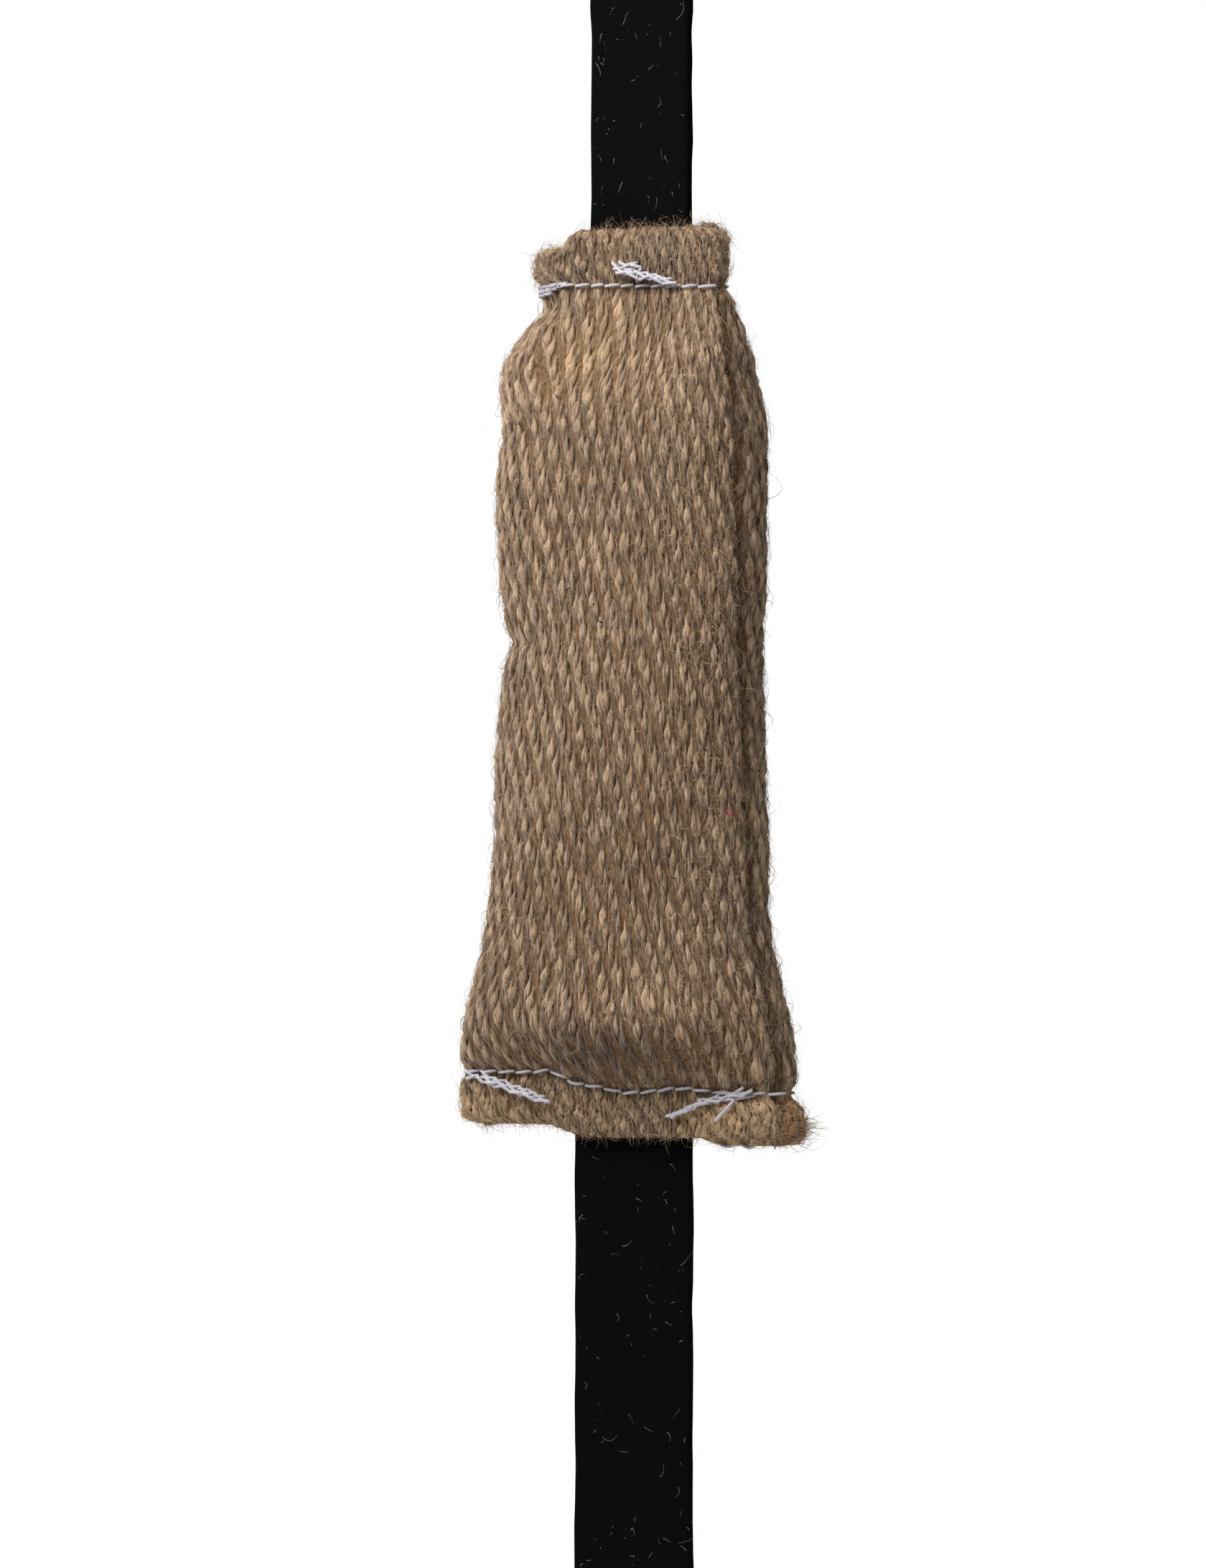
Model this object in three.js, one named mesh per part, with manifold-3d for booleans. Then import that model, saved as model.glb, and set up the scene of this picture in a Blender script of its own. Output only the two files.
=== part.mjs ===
// A small jute pad on a flat strap. The strap runs in through the pad's top hem and out through its bottom
// hem, and ends in a sewn loop above and below. Millimetres, +Z up, X along the bottom hem, -Y to the front.
// The origin is the point inside the upper loop that the whole object hangs from.
import * as THREE from "three";
import { mergeVertices } from "three/addons/utils/BufferGeometryUtils.js";
import Module from "manifold-3d";

// ---- Driving dimensions ----

const CLEARANCE = 0.3; // between pieces that touch

// Strap
const STRAP_WIDTH = 25;
const STRAP_THICKNESS = 2.4;
const STRAP_ABOVE_PAD = 102; // hanging point to the pad's top edge
const STRAP_BELOW_PAD = 141; // the pad's bottom edge to the lower loop's bearing point
const TWIST_DEGREES = -18; // the strap's turn at the top, against its turn at the bottom
const TWIST_AXIS = 10; // the line it turns about, to the right of the strap's middle
const EYE_LENGTH = 32; // inside the loop, along the strap
const EYE_DEPTH = 18; // inside the loop, front to back
const LOOP_OVERLAP = 20; // sewn double
const PLAIN_FACE_MARGIN = 4; // the plain face under the pad keeps this far from the hem and the overlap

// Pad
const PAD_LENGTH = 185;
const PAD_SHIFT = -1; // from the strap's middle to the pad's, below the top hem
const BODY_WIDTH = 58.4;
const BODY_THICKNESS = 29;
const BODY_POWER = 2.7; // 2 is an ellipse, higher is squarer
const CLOTH = 2.4; // thickness of the jute
const HEM_THICKNESS = 10;
const HEM_POWER = 5;
const HEM_EDGE_RADIUS = 2.6;
const HEM_CORNER = 3;
const TOP_HEM_DEPTH = 11.5;
const TOP_HEM_WIDTH = 63.5;
const TOP_HEM_RIGHT = 21.7; // the part of it to the right of the strap's middle
const TOP_SHOULDER = 30;
const TOP_SHOULDER_POWER = 1.25; // higher leaves the seam more gently
const BOTTOM_HEM_DEPTH = 10;
const BOTTOM_HEM_WIDTH = 71;
const BOTTOM_SHOULDER = 20;
const BOTTOM_SHOULDER_POWER = 1.2; // 1 is a quarter sine, higher leaves the seam more gently
const BOTTOM_FLARE = 44; // the stretch over which the body widens to the bottom hem
const BOTTOM_LIFT = 3.4; // the left end of the bottom hem is pulled up
const LIFT_START = 8;
const LIFT_RUN = 12;
const EAR_START = 14; // the left end of the top hem bends back here, left of the strap's middle
const EAR_BEND_DEGREES = 42;
const EAR_DROP = 1.5;
const EAR_DROP_RUN = 4;
const SEAM_PINCH = 0.8; // how far a seam sinks into each face
const SEAM_PINCH_REACH = 1.6;
const DENT_BELOW_TOP = 83.6; // the dent in the left side
const DENT_DEPTH = 3.1;
const DENT_REACH = 9;
const CLOSING_SEAM_AT = -9; // the seam up the back, from the strap's middle
const WADDING_END_GAP = 1.2; // the wadding stops this short of the hems

// Thread
const THREAD_DIAMETER = 0.9;
const STITCH = 3.8;
const BACKTACK_STITCH = 1.3;
const BACKTACK_SWING = 1.1;
const SEAM_END_GAP = 3.2; // from the end of a hem to the end of its thread
const LOOP_STITCH_INSET = 3.5;

// Fineness of the meshes
const RING_POINTS = 36;
const LEVEL_STEP = 11;
const THREAD_SIDES = 5;

// ---- Derived places, measured down from the pad's top edge ----

const TOP_SEAM = TOP_HEM_DEPTH;
const BOTTOM_SEAM = PAD_LENGTH - BOTTOM_HEM_DEPTH;
const TWIST = THREE.MathUtils.degToRad(TWIST_DEGREES);
const EAR_BEND = THREE.MathUtils.degToRad(EAR_BEND_DEGREES);
const FRONT = -1;
const BACK = 1;

const smooth = (t) => THREE.MathUtils.smoothstep(t, 0, 1);
const rounded = (t) => Math.sqrt(1 - (1 - THREE.MathUtils.clamp(t, 0, 1)) ** 2);
const mix = THREE.MathUtils.lerp;

// ---- The pad's form ----

// How much of the body's full shape a level has: 0 in the hems, 1 in the body.
const topRise = (down) => smooth((down - TOP_SEAM) / TOP_SHOULDER) ** TOP_SHOULDER_POWER;
function bottomRise(down) {
  const share = THREE.MathUtils.clamp((BOTTOM_SEAM - down) / BOTTOM_SHOULDER, 0, 1);
  return Math.sin((Math.PI / 2) * share) ** BOTTOM_SHOULDER_POWER;
}

// The level cross-section: how far it reaches left and right of the strap, and its half thickness.
function section(down, inset = 0) {
  const rise = topRise(down) * bottomRise(down);
  const flare = smooth((down - BOTTOM_SEAM + BOTTOM_FLARE) / BOTTOM_FLARE);
  const bodySide = mix(BODY_WIDTH / 2, BOTTOM_HEM_WIDTH / 2, flare);
  const dent = DENT_DEPTH * Math.exp(-Math.abs(down - DENT_BELOW_TOP) / DENT_REACH);
  const edge = Math.min(down, PAD_LENGTH - down);
  const corner = HEM_CORNER * (1 - rounded(edge / HEM_CORNER));
  const cut = corner + inset;
  const left = mix(TOP_HEM_WIDTH - TOP_HEM_RIGHT, bodySide - PAD_SHIFT, topRise(down)) - dent - cut;
  const right = mix(TOP_HEM_RIGHT, bodySide + PAD_SHIFT, topRise(down)) - cut;
  const pinch = [TOP_SEAM, BOTTOM_SEAM].reduce(
    (sum, seam) => sum + SEAM_PINCH * Math.exp(-(((down - seam) / SEAM_PINCH_REACH) ** 2)),
    0,
  );
  const full = mix(HEM_THICKNESS / 2, BODY_THICKNESS / 2, rise) - pinch;
  const half = full * Math.max(0.35, rounded(edge / HEM_EDGE_RADIUS)) - inset;
  const bend = EAR_BEND * (1 - topRise(down));
  return { left, right, half, full, bend, power: mix(HEM_POWER, BODY_POWER, rise) };
}

// Bends the left end of a level back: s runs along the level, t is the depth, positive to the back.
function bent(s, t, { bend, full }) {
  const along = -s - EAR_START;
  if (along <= 0 || bend === 0) return [s, t];
  const radius = 1.8 * full;
  const arc = Math.min(along / radius, bend);
  const straight = along - arc * radius;
  const u = -EAR_START - radius * Math.sin(arc) - straight * Math.cos(arc);
  const w = radius * (1 - Math.cos(arc)) + straight * Math.sin(arc);
  return [u + t * Math.sin(arc), w + t * Math.cos(arc)];
}

// The strap's turn at a level: all of it down to the top seam, none below the bottom seam.
const turnAt = (down) => TWIST * (1 - smooth((down - TOP_SEAM) / (BOTTOM_SEAM - TOP_SEAM)));

// Puts a point that is u across and w deep at a level in the part's frame.
function placed(u, w, down, lift = 0) {
  const turn = turnAt(down);
  const across = u - TWIST_AXIS;
  return new THREE.Vector3(
    TWIST_AXIS * Math.cos(TWIST) + across * Math.cos(turn) - w * Math.sin(turn),
    TWIST_AXIS * Math.sin(TWIST) + across * Math.sin(turn) + w * Math.cos(turn),
    -STRAP_ABOVE_PAD - down + lift,
  );
}

// The bottom hem's left end sits higher, and the bent end of the top hem a little lower.
function liftAt(s, down) {
  const low = smooth((down - BOTTOM_SEAM + BOTTOM_FLARE) / BOTTOM_FLARE);
  const lift = BOTTOM_LIFT * smooth((-s - LIFT_START) / LIFT_RUN) * low;
  const drop = EAR_DROP * smooth((-s - EAR_START) / EAR_DROP_RUN) * smooth((TOP_SEAM - down) / TOP_SEAM);
  return lift - drop;
}

function padPoint(s, t, down, level) {
  const [u, w] = bent(s, t, level);
  return placed(u, w, down, liftAt(s, down));
}

// How far a face stands from the middle of a level, where share runs from -1 at its left end to 1.
const depthAt = (share, { half, power }) => half * (1 - Math.abs(share) ** power) ** (1 / power);

// A ring of points round one level, anticlockwise seen from above.
function ring(down, inset) {
  const level = section(down, inset);
  const middle = (level.right - level.left) / 2;
  const reach = (level.right + level.left) / 2;
  return Array.from({ length: RING_POINTS }, (_, i) => {
    const turn = (4 * i) / RING_POINTS; // 0 to 2 along the front, 2 to 4 back along the back
    const [share, side] = turn < 2 ? [turn - 1, FRONT] : [3 - turn, BACK];
    const across = Math.sin((Math.PI / 2) * share);
    return padPoint(middle + reach * across, side * depthAt(across, level), down, level);
  });
}

// A point on the front or back face, out from the cloth.
function facePoint(s, down, side, out) {
  const level = section(down);
  const middle = (level.right - level.left) / 2;
  const share = (2 * (s - middle)) / (level.right + level.left);
  return padPoint(s, side * (depthAt(share, level) + out), down, level);
}

// ---- Mesh helpers ----

// A closed skin over rings of equal length that run downwards. Each end is closed by strips from the ring's
// front half to its back half, so the ring may be bent.
function loft(rings) {
  const count = rings[0].length;
  const points = rings.flat();
  const index = [];
  for (let r = 0; r + 1 < rings.length; r++)
    for (let i = 0; i < count; i++) {
      const a = r * count + i;
      const b = r * count + ((i + 1) % count);
      index.push(a, a + count, b, b, a + count, b + count);
    }
  const last = (rings.length - 1) * count;
  for (let i = 0; i < count / 2; i++) {
    const [a, b, c, d] = [i, i + 1, count - i - 1, (count - i) % count];
    if (b !== c) index.push(a, b, c, last + a, last + c, last + b);
    if (a !== d) index.push(a, c, d, last + a, last + d, last + c);
  }
  return new THREE.BufferGeometry().setFromPoints(points).setIndex(index);
}

const wasm = await Module();
wasm.setup();

function solid(geometry) {
  const bare = new THREE.BufferGeometry().setIndex(geometry.index);
  bare.setAttribute("position", geometry.getAttribute("position"));
  const merged = mergeVertices(bare, 1e-4);
  const vertProperties = new Float32Array(merged.getAttribute("position").array);
  const triVerts = new Uint32Array(merged.index.array);
  return new wasm.Manifold(new wasm.Mesh({ numProp: 3, vertProperties, triVerts }));
}

function geometryOf(manifold) {
  const { vertProperties, triVerts } = manifold.getMesh();
  const geometry = new THREE.BufferGeometry();
  geometry.setAttribute("position", new THREE.BufferAttribute(new Float32Array(vertProperties), 3));
  geometry.setIndex(new THREE.BufferAttribute(new Uint32Array(triVerts), 1));
  return geometry;
}

// Levels from one depth to another at whole steps, and at the places named.
function levels(from, to, step, close = []) {
  const named = [from, to, ...close.filter((d) => d > from && d < to)];
  const count = Math.floor((to - from) / step) + 1;
  const even = Array.from({ length: count }, (_, i) => step * (Math.ceil(from / step) + i));
  const far = even.filter((d) => d > from && d < to && named.every((c) => Math.abs(d - c) > step / 3));
  return [...far, ...named].sort((a, b) => a - b);
}

// ---- Strap ----

// One half-loop's middle line from the neck, up one side and over the top: [depth, height over the neck].
function eyeLine() {
  const tailDepth = STRAP_THICKNESS + CLEARANCE;
  const middle = tailDepth / 2;
  const radius = (EYE_DEPTH + STRAP_THICKNESS) / 2;
  const neckToCircle = EYE_LENGTH - EYE_DEPTH / 2;
  const sideSteps = 8;
  const arcSteps = 12;
  const side = Array.from({ length: sideSteps }, (_, i) => {
    const t = i / sideSteps;
    return [mix(tailDepth / 2, radius, smooth(t)), neckToCircle * t];
  });
  const front = side.map(([half, height]) => [middle - half, height]);
  const back = side.map(([half, height]) => [middle + half, height]).reverse();
  const arc = Array.from({ length: arcSteps + 1 }, (_, i) => {
    const angle = Math.PI * (1 - i / arcSteps);
    return [middle + radius * Math.cos(angle), neckToCircle + radius * Math.sin(angle)];
  });
  return [...front, ...arc, ...back];
}

// The strap's middle line seen from its side: the lower loop's tail, the loop, the long run, the upper loop.
function strapLine() {
  const tailDepth = STRAP_THICKNESS + CLEARANCE;
  const bottom = -(STRAP_ABOVE_PAD + PAD_LENGTH + STRAP_BELOW_PAD);
  const upper = eyeLine().map(([depth, height]) => [depth, height - EYE_LENGTH]);
  const lower = eyeLine()
    .map(([depth, height]) => [depth, bottom + EYE_LENGTH - height])
    .reverse();
  const runTop = -EYE_LENGTH;
  const runBottom = bottom + EYE_LENGTH;
  const turning = levels(TOP_SEAM, BOTTOM_SEAM, LEVEL_STEP).map((down) => -STRAP_ABOVE_PAD - down);
  const plainTop = -(STRAP_ABOVE_PAD + PAD_LENGTH + PLAIN_FACE_MARGIN);
  const plainBottom = runBottom + LOOP_OVERLAP + PLAIN_FACE_MARGIN;
  const run = [...turning, plainTop, plainBottom].map((z) => [0, z]).reverse();
  return [
    [tailDepth, runBottom + LOOP_OVERLAP],
    ...lower,
    ...run,
    ...upper,
    [tailDepth, runTop - LOOP_OVERLAP],
  ];
}

// A band of one width and thickness along a middle line of [depth, height], turned with the strap.
function bandSolid(line, width, thickness) {
  const rings = line.map(([y, z], i) => {
    const [aheadY, aheadZ] = line[Math.min(i + 1, line.length - 1)];
    const [behindY, behindZ] = line[Math.max(i - 1, 0)];
    const run = Math.hypot(aheadY - behindY, aheadZ - behindZ);
    const backY = (((behindZ - aheadZ) / run) * thickness) / 2;
    const backZ = (((aheadY - behindY) / run) * thickness) / 2;
    const corners = [
      [-1, -1],
      [1, -1],
      [1, 1],
      [-1, 1],
    ];
    return corners.map(([across, back]) =>
      placed((across * width) / 2, y + back * backY, -(z + back * backZ) - STRAP_ABOVE_PAD),
    );
  });
  return solid(loft(rings));
}

// A straight slab that follows the strap's turn through the pad, for cutting room for it.
function strapCut(width, thickness) {
  const reach = 6;
  const downs = [-reach, ...levels(TOP_SEAM, BOTTOM_SEAM, LEVEL_STEP), PAD_LENGTH + reach];
  return bandSolid(
    downs.map((down) => [0, -STRAP_ABOVE_PAD - down]),
    width,
    thickness,
  );
}

// ---- Jute cover and filling ----

const HEM_EDGE_LEVELS = [0.4, 1.2, HEM_EDGE_RADIUS];
const ROOM_TOP = TOP_SEAM + 2;
const ROOM_BOTTOM = BOTTOM_SEAM - 2;

function padSolid(from, to, inset) {
  const close = [
    ...HEM_EDGE_LEVELS,
    ...[TOP_SEAM, BOTTOM_SEAM].flatMap((d) => [d - SEAM_PINCH_REACH, d, d + SEAM_PINCH_REACH]),
    DENT_BELOW_TOP,
    BOTTOM_SEAM - BOTTOM_SHOULDER / 2,
    BOTTOM_SEAM - BOTTOM_SHOULDER / 4,
    ...HEM_EDGE_LEVELS.map((d) => PAD_LENGTH - d),
  ];
  return solid(loft(levels(from, to, LEVEL_STEP, close).map((down) => ring(down, inset))));
}

function juteCover() {
  const room = padSolid(ROOM_TOP, ROOM_BOTTOM, CLOTH);
  const slot = strapCut(STRAP_WIDTH + 2 * CLEARANCE, STRAP_THICKNESS + 2 * CLEARANCE);
  return padSolid(0, PAD_LENGTH, 0).subtract(room).subtract(slot);
}

// The wadding fills the cover's room, in two pads with the strap between them.
function fillings() {
  const wadding = padSolid(ROOM_TOP + WADDING_END_GAP, ROOM_BOTTOM - WADDING_END_GAP, CLOTH + CLEARANCE);
  const strapRoom = strapCut(STRAP_WIDTH + 2 * CLEARANCE, STRAP_THICKNESS + 2 * CLEARANCE);
  const parting = strapCut(2 * BOTTOM_HEM_WIDTH, CLEARANCE);
  const depthOf = (pad) => pad.boundingBox().min[1];
  return wadding
    .subtract(strapRoom)
    .subtract(parting)
    .decompose()
    .sort((a, b) => depthOf(a) - depthOf(b));
}

// ---- Threads ----

const THREAD_OUT = THREAD_DIAMETER / 2 + CLEARANCE;

function threadAlong(points, steps) {
  const round = new THREE.Shape(
    Array.from({ length: THREAD_SIDES }, (_, i) => {
      const angle = (2 * Math.PI * i) / THREAD_SIDES;
      return new THREE.Vector2(Math.cos(angle), Math.sin(angle)).multiplyScalar(THREAD_DIAMETER / 2);
    }),
  );
  const extrudePath = new THREE.CatmullRomCurve3(points, false, "centripetal");
  const geometry = new THREE.ExtrudeGeometry(round, { steps, extrudePath, bevelEnabled: false });
  geometry.deleteAttribute("normal");
  geometry.deleteAttribute("uv");
  return mergeVertices(geometry, 1e-4);
}

// The thread across a hem on one face.
function seamThread(seam, side) {
  const { left, right } = section(seam);
  const from = -left + SEAM_END_GAP;
  const to = right - SEAM_END_GAP;
  const stitches = Math.round((to - from) / STITCH);
  const points = Array.from({ length: 2 * stitches + 1 }, (_, i) => {
    const rise = i % 2 ? THREAD_DIAMETER / 3 : 0;
    return facePoint(mix(from, to, i / (2 * stitches)), seam, side, THREAD_OUT + rise);
  });
  return threadAlong(points, 2 * stitches);
}

// A run of locked stitches that zigzags along a slant: from and to are [across, down].
function backtack(from, to, side) {
  const run = Math.hypot(to[0] - from[0], to[1] - from[1]);
  const stitches = Math.round(run / BACKTACK_STITCH);
  const points = Array.from({ length: stitches + 1 }, (_, i) => {
    const t = i / stitches;
    const swing = ((i % 2 ? 1 : -1) * BACKTACK_SWING) / 2;
    return facePoint(mix(from[0], to[0], t), mix(from[1], to[1], t) + swing, side, THREAD_OUT);
  });
  return threadAlong(points, 2 * stitches);
}

function closingSeamThread() {
  const gap = 2 * THREAD_DIAMETER + SEAM_PINCH_REACH;
  const from = TOP_SEAM + gap;
  const to = BOTTOM_SEAM - gap;
  const stitches = Math.round((to - from) / (2 * STITCH));
  const points = Array.from({ length: 2 * stitches + 1 }, (_, i) => {
    const rise = i % 2 ? THREAD_DIAMETER / 3 : 0;
    return facePoint(CLOSING_SEAM_AT, mix(from, to, i / (2 * stitches)), BACK, THREAD_OUT + 0.3 + rise);
  });
  return threadAlong(points, 2 * stitches);
}

// Four sides of a sewn box over the doubled strap, with its last corner left open.
function loopStitching(neck, away, side) {
  const faceDepth = side === FRONT ? -STRAP_THICKNESS / 2 : 1.5 * STRAP_THICKNESS + CLEARANCE;
  const half = STRAP_WIDTH / 2 - LOOP_STITCH_INSET;
  const near = LOOP_STITCH_INSET;
  const far = LOOP_OVERLAP - LOOP_STITCH_INSET;
  const opening = 2 * THREAD_DIAMETER;
  const corners = [
    [-half, near + opening],
    [-half, far],
    [half, far],
    [half, near],
    [-half + opening, near],
  ];
  const points = corners.flatMap(([u, along], i) => {
    if (i === 0) return [[u, along]];
    const [lastU, lastAlong] = corners[i - 1];
    return [0.06, 0.35, 0.65, 0.94, 1].map((t) => [mix(lastU, u, t), mix(lastAlong, along, t)]);
  });
  const laid = points.map(([u, along]) =>
    placed(u, faceDepth + side * THREAD_OUT, -(neck + away * along) - STRAP_ABOVE_PAD),
  );
  return threadAlong(laid, laid.length + 5);
}

// ---- Materials ----

const material = (color, roughness) => new THREE.MeshStandardMaterial({ color, roughness, metalness: 0 });
const juteCloth = material(0xb08a5c, 0.95);
const blackWebbing = material(0x121214, 0.85);
const whiteThread = material(0xe4e1e6, 0.6);
const blackThread = material(0x1b1b1e, 0.7);
const wadding = material(0xe9e3d6, 1);

// ---- The object ----

const part = new THREE.Group();

function add(name, geometry, finish) {
  const mesh = new THREE.Mesh(geometry, finish);
  mesh.name = name;
  part.add(mesh);
}

add("strap", geometryOf(bandSolid(strapLine(), STRAP_WIDTH, STRAP_THICKNESS)), blackWebbing);
add("jute_cover", geometryOf(juteCover()), juteCloth);

const [fillingFront, fillingBack] = fillings();
add("filling_front", geometryOf(fillingFront), wadding);
add("filling_back", geometryOf(fillingBack), wadding);

add("top_seam_thread", seamThread(TOP_SEAM, FRONT), whiteThread);
add("top_seam_back_thread", seamThread(TOP_SEAM, BACK), whiteThread);
add("bottom_seam_thread", seamThread(BOTTOM_SEAM, FRONT), whiteThread);
add("bottom_seam_back_thread", seamThread(BOTTOM_SEAM, BACK), whiteThread);
add("closing_seam_thread", closingSeamThread(), whiteThread);

const topEnds = section(TOP_SEAM);
const bottomEnds = section(BOTTOM_SEAM);
add(
  "top_backtack",
  backtack([topEnds.right - 28, TOP_SEAM - 4.4], [topEnds.right - 11.9, TOP_SEAM - 2.2], FRONT),
  whiteThread,
);
add(
  "bottom_left_backtack",
  backtack([5.5 - bottomEnds.left, BOTTOM_SEAM + 2], [19.5 - bottomEnds.left, BOTTOM_SEAM + 5.6], FRONT),
  whiteThread,
);
add(
  "bottom_right_backtack",
  backtack([bottomEnds.right - 25.2, BOTTOM_SEAM + 5.4], [bottomEnds.right - 16.7, BOTTOM_SEAM + 2], FRONT),
  whiteThread,
);
const looseThread = [
  [11.1, 1.6],
  [12.1, 3.2],
  [13.3, 4.8],
  [14.3, 6.2],
].map(([fromEnd, below]) => facePoint(bottomEnds.right - fromEnd, BOTTOM_SEAM + below, FRONT, THREAD_OUT));
add("loose_thread", threadAlong(looseThread, 6), whiteThread);

const lowerNeck = -(STRAP_ABOVE_PAD + PAD_LENGTH + STRAP_BELOW_PAD) + EYE_LENGTH;
add("upper_loop_stitching", loopStitching(-EYE_LENGTH, -1, FRONT), blackThread);
add("upper_loop_back_stitching", loopStitching(-EYE_LENGTH, -1, BACK), blackThread);
add("lower_loop_stitching", loopStitching(lowerNeck, 1, FRONT), blackThread);
add("lower_loop_back_stitching", loopStitching(lowerNeck, 1, BACK), blackThread);

export default part;
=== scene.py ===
import math

import bpy
import numpy as np
from bpy.props import (
    FloatProperty,
    FloatVectorProperty,
    IntProperty,
    PointerProperty,
)
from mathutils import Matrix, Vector


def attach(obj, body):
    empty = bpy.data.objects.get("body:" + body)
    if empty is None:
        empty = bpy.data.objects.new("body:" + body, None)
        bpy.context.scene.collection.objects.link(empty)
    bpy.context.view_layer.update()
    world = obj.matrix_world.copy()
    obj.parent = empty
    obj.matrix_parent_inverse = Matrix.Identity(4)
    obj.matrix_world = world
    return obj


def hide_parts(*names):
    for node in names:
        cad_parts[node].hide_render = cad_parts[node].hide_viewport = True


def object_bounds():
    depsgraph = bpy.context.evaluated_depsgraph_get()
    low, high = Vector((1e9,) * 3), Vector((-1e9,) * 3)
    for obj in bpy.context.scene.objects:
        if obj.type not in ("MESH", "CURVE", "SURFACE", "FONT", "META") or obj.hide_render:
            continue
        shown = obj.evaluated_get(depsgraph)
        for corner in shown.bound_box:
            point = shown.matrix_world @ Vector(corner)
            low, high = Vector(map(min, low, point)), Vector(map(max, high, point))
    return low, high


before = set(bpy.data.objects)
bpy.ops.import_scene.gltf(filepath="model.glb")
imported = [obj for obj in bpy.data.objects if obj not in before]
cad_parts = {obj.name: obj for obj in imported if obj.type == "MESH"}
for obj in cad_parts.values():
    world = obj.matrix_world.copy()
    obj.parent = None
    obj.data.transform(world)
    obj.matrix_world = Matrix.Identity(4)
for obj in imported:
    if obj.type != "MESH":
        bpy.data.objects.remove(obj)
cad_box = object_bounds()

bl_info = {
    "name": "Jute pad on a strap",
    "version": (1, 0, 0),
    "blender": (4, 5, 0),
    "location": "3D View > Sidebar > Jute pad",
    "description": "Builds a small stuffed jute pad, sewn round a flat black strap",
    "category": "Object",
}

MM = 0.001
SEED = 11
FRONT, BACK = -1, 1


# ---- Sizes and colours that a user may change ----


def length(name, description, default_mm, **more):
    """A length property: its default is given in millimetres and kept in metres."""
    return FloatProperty(
        name=name, description=description, default=default_mm * MM, min=0.0,
        unit="LENGTH", subtype="DISTANCE", precision=5, **more,
    )


def place(name, description, default_mm):
    """A length that may be negative, measured from the strap's middle or from a seam."""
    return FloatProperty(
        name=name, description=description, default=default_mm * MM,
        unit="LENGTH", subtype="DISTANCE", precision=5,
    )


def colour(name, description, default):
    return FloatVectorProperty(
        name=name, description=description, default=default, size=3,
        min=0.0, max=1.0, subtype="COLOR",
    )


class JutePadSizes(bpy.types.PropertyGroup):
    """The stuffed pad and its two hems."""

    length: length("Length", "From the top hem's edge to the bottom hem's edge", 185)
    shift: place("Shift", "From the strap's middle to the pad's middle", -1)
    body_width: length("Body width", "Across the stuffed part", 58.4)
    body_thickness: length("Body thickness", "Front to back, stuffed", 29)
    cloth: length("Cloth", "Thickness of the jute cloth", 2.4)
    hem_thickness: length("Hem thickness", "Both layers of a hem with the strap inside", 10)
    fold_radius: length("Fold radius", "Height of the rounded fold along a hem", 2.2)
    hem_corner: length("Hem corner", "Rounding of the hems' outer corners", 3)
    top_hem_depth: length("Top hem depth", "From the top edge to the top seam", 11.5)
    top_hem_width: length("Top hem width", "Across the top hem, laid straight", 63.5)
    top_hem_right: length("Top hem right", "The part of the top hem right of the strap's middle", 21.7)
    top_shoulder: length("Top shoulder", "Height over which the body swells under the top seam", 30)
    bottom_hem_depth: length("Bottom hem depth", "From the bottom seam to the bottom edge", 10)
    bottom_hem_width: length("Bottom hem width", "Across the bottom hem", 71)
    bottom_shoulder: length("Bottom shoulder", "Height over which the body thins to the bottom seam", 20)
    bottom_flare: length("Bottom flare", "Height over which the body widens to the bottom hem", 44)
    bottom_lift: length("Bottom lift", "How far the left end of the bottom hem is pulled up", 3.4)
    ear_start: length("Ear start", "Where the top hem's left end bends back", 14)
    ear_bend: FloatProperty(
        name="Ear bend", description="How far the top hem's left end bends back",
        default=math.radians(42), unit="ROTATION", subtype="ANGLE",
    )
    dent_below_top: length("Dent place", "The dent in the left side, below the top edge", 83.6)
    dent_depth: length("Dent depth", "How deep that dent is", 3.1)
    closing_seam: place("Closing seam", "The seam up the back, from the strap's middle", -9)


class JuteStrapSizes(bpy.types.PropertyGroup):
    """The flat strap and its two sewn loops."""

    width: length("Width", "Across the strap", 25)
    thickness: length("Thickness", "Of one layer", 2.4)
    above_pad: length("Above the pad", "From the hanging point to the pad's top edge", 102)
    below_pad: length("Below the pad", "From the pad's bottom edge to the lower loop's bearing point", 141)
    twist: FloatProperty(
        name="Twist", description="The strap's turn at the top against its turn at the bottom",
        default=math.radians(-18), unit="ROTATION", subtype="ANGLE",
    )
    twist_axis: place("Twist axis", "The line the strap turns about, from its middle", 10)
    eye_length: length("Eye length", "Inside a loop, along the strap", 32)
    eye_depth: length("Eye depth", "Inside a loop, front to back", 18)
    overlap: length("Overlap", "Length that is sewn double", 20)
    flat_length: length("Flat length", "Length the strap was cut to", 568)


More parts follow.
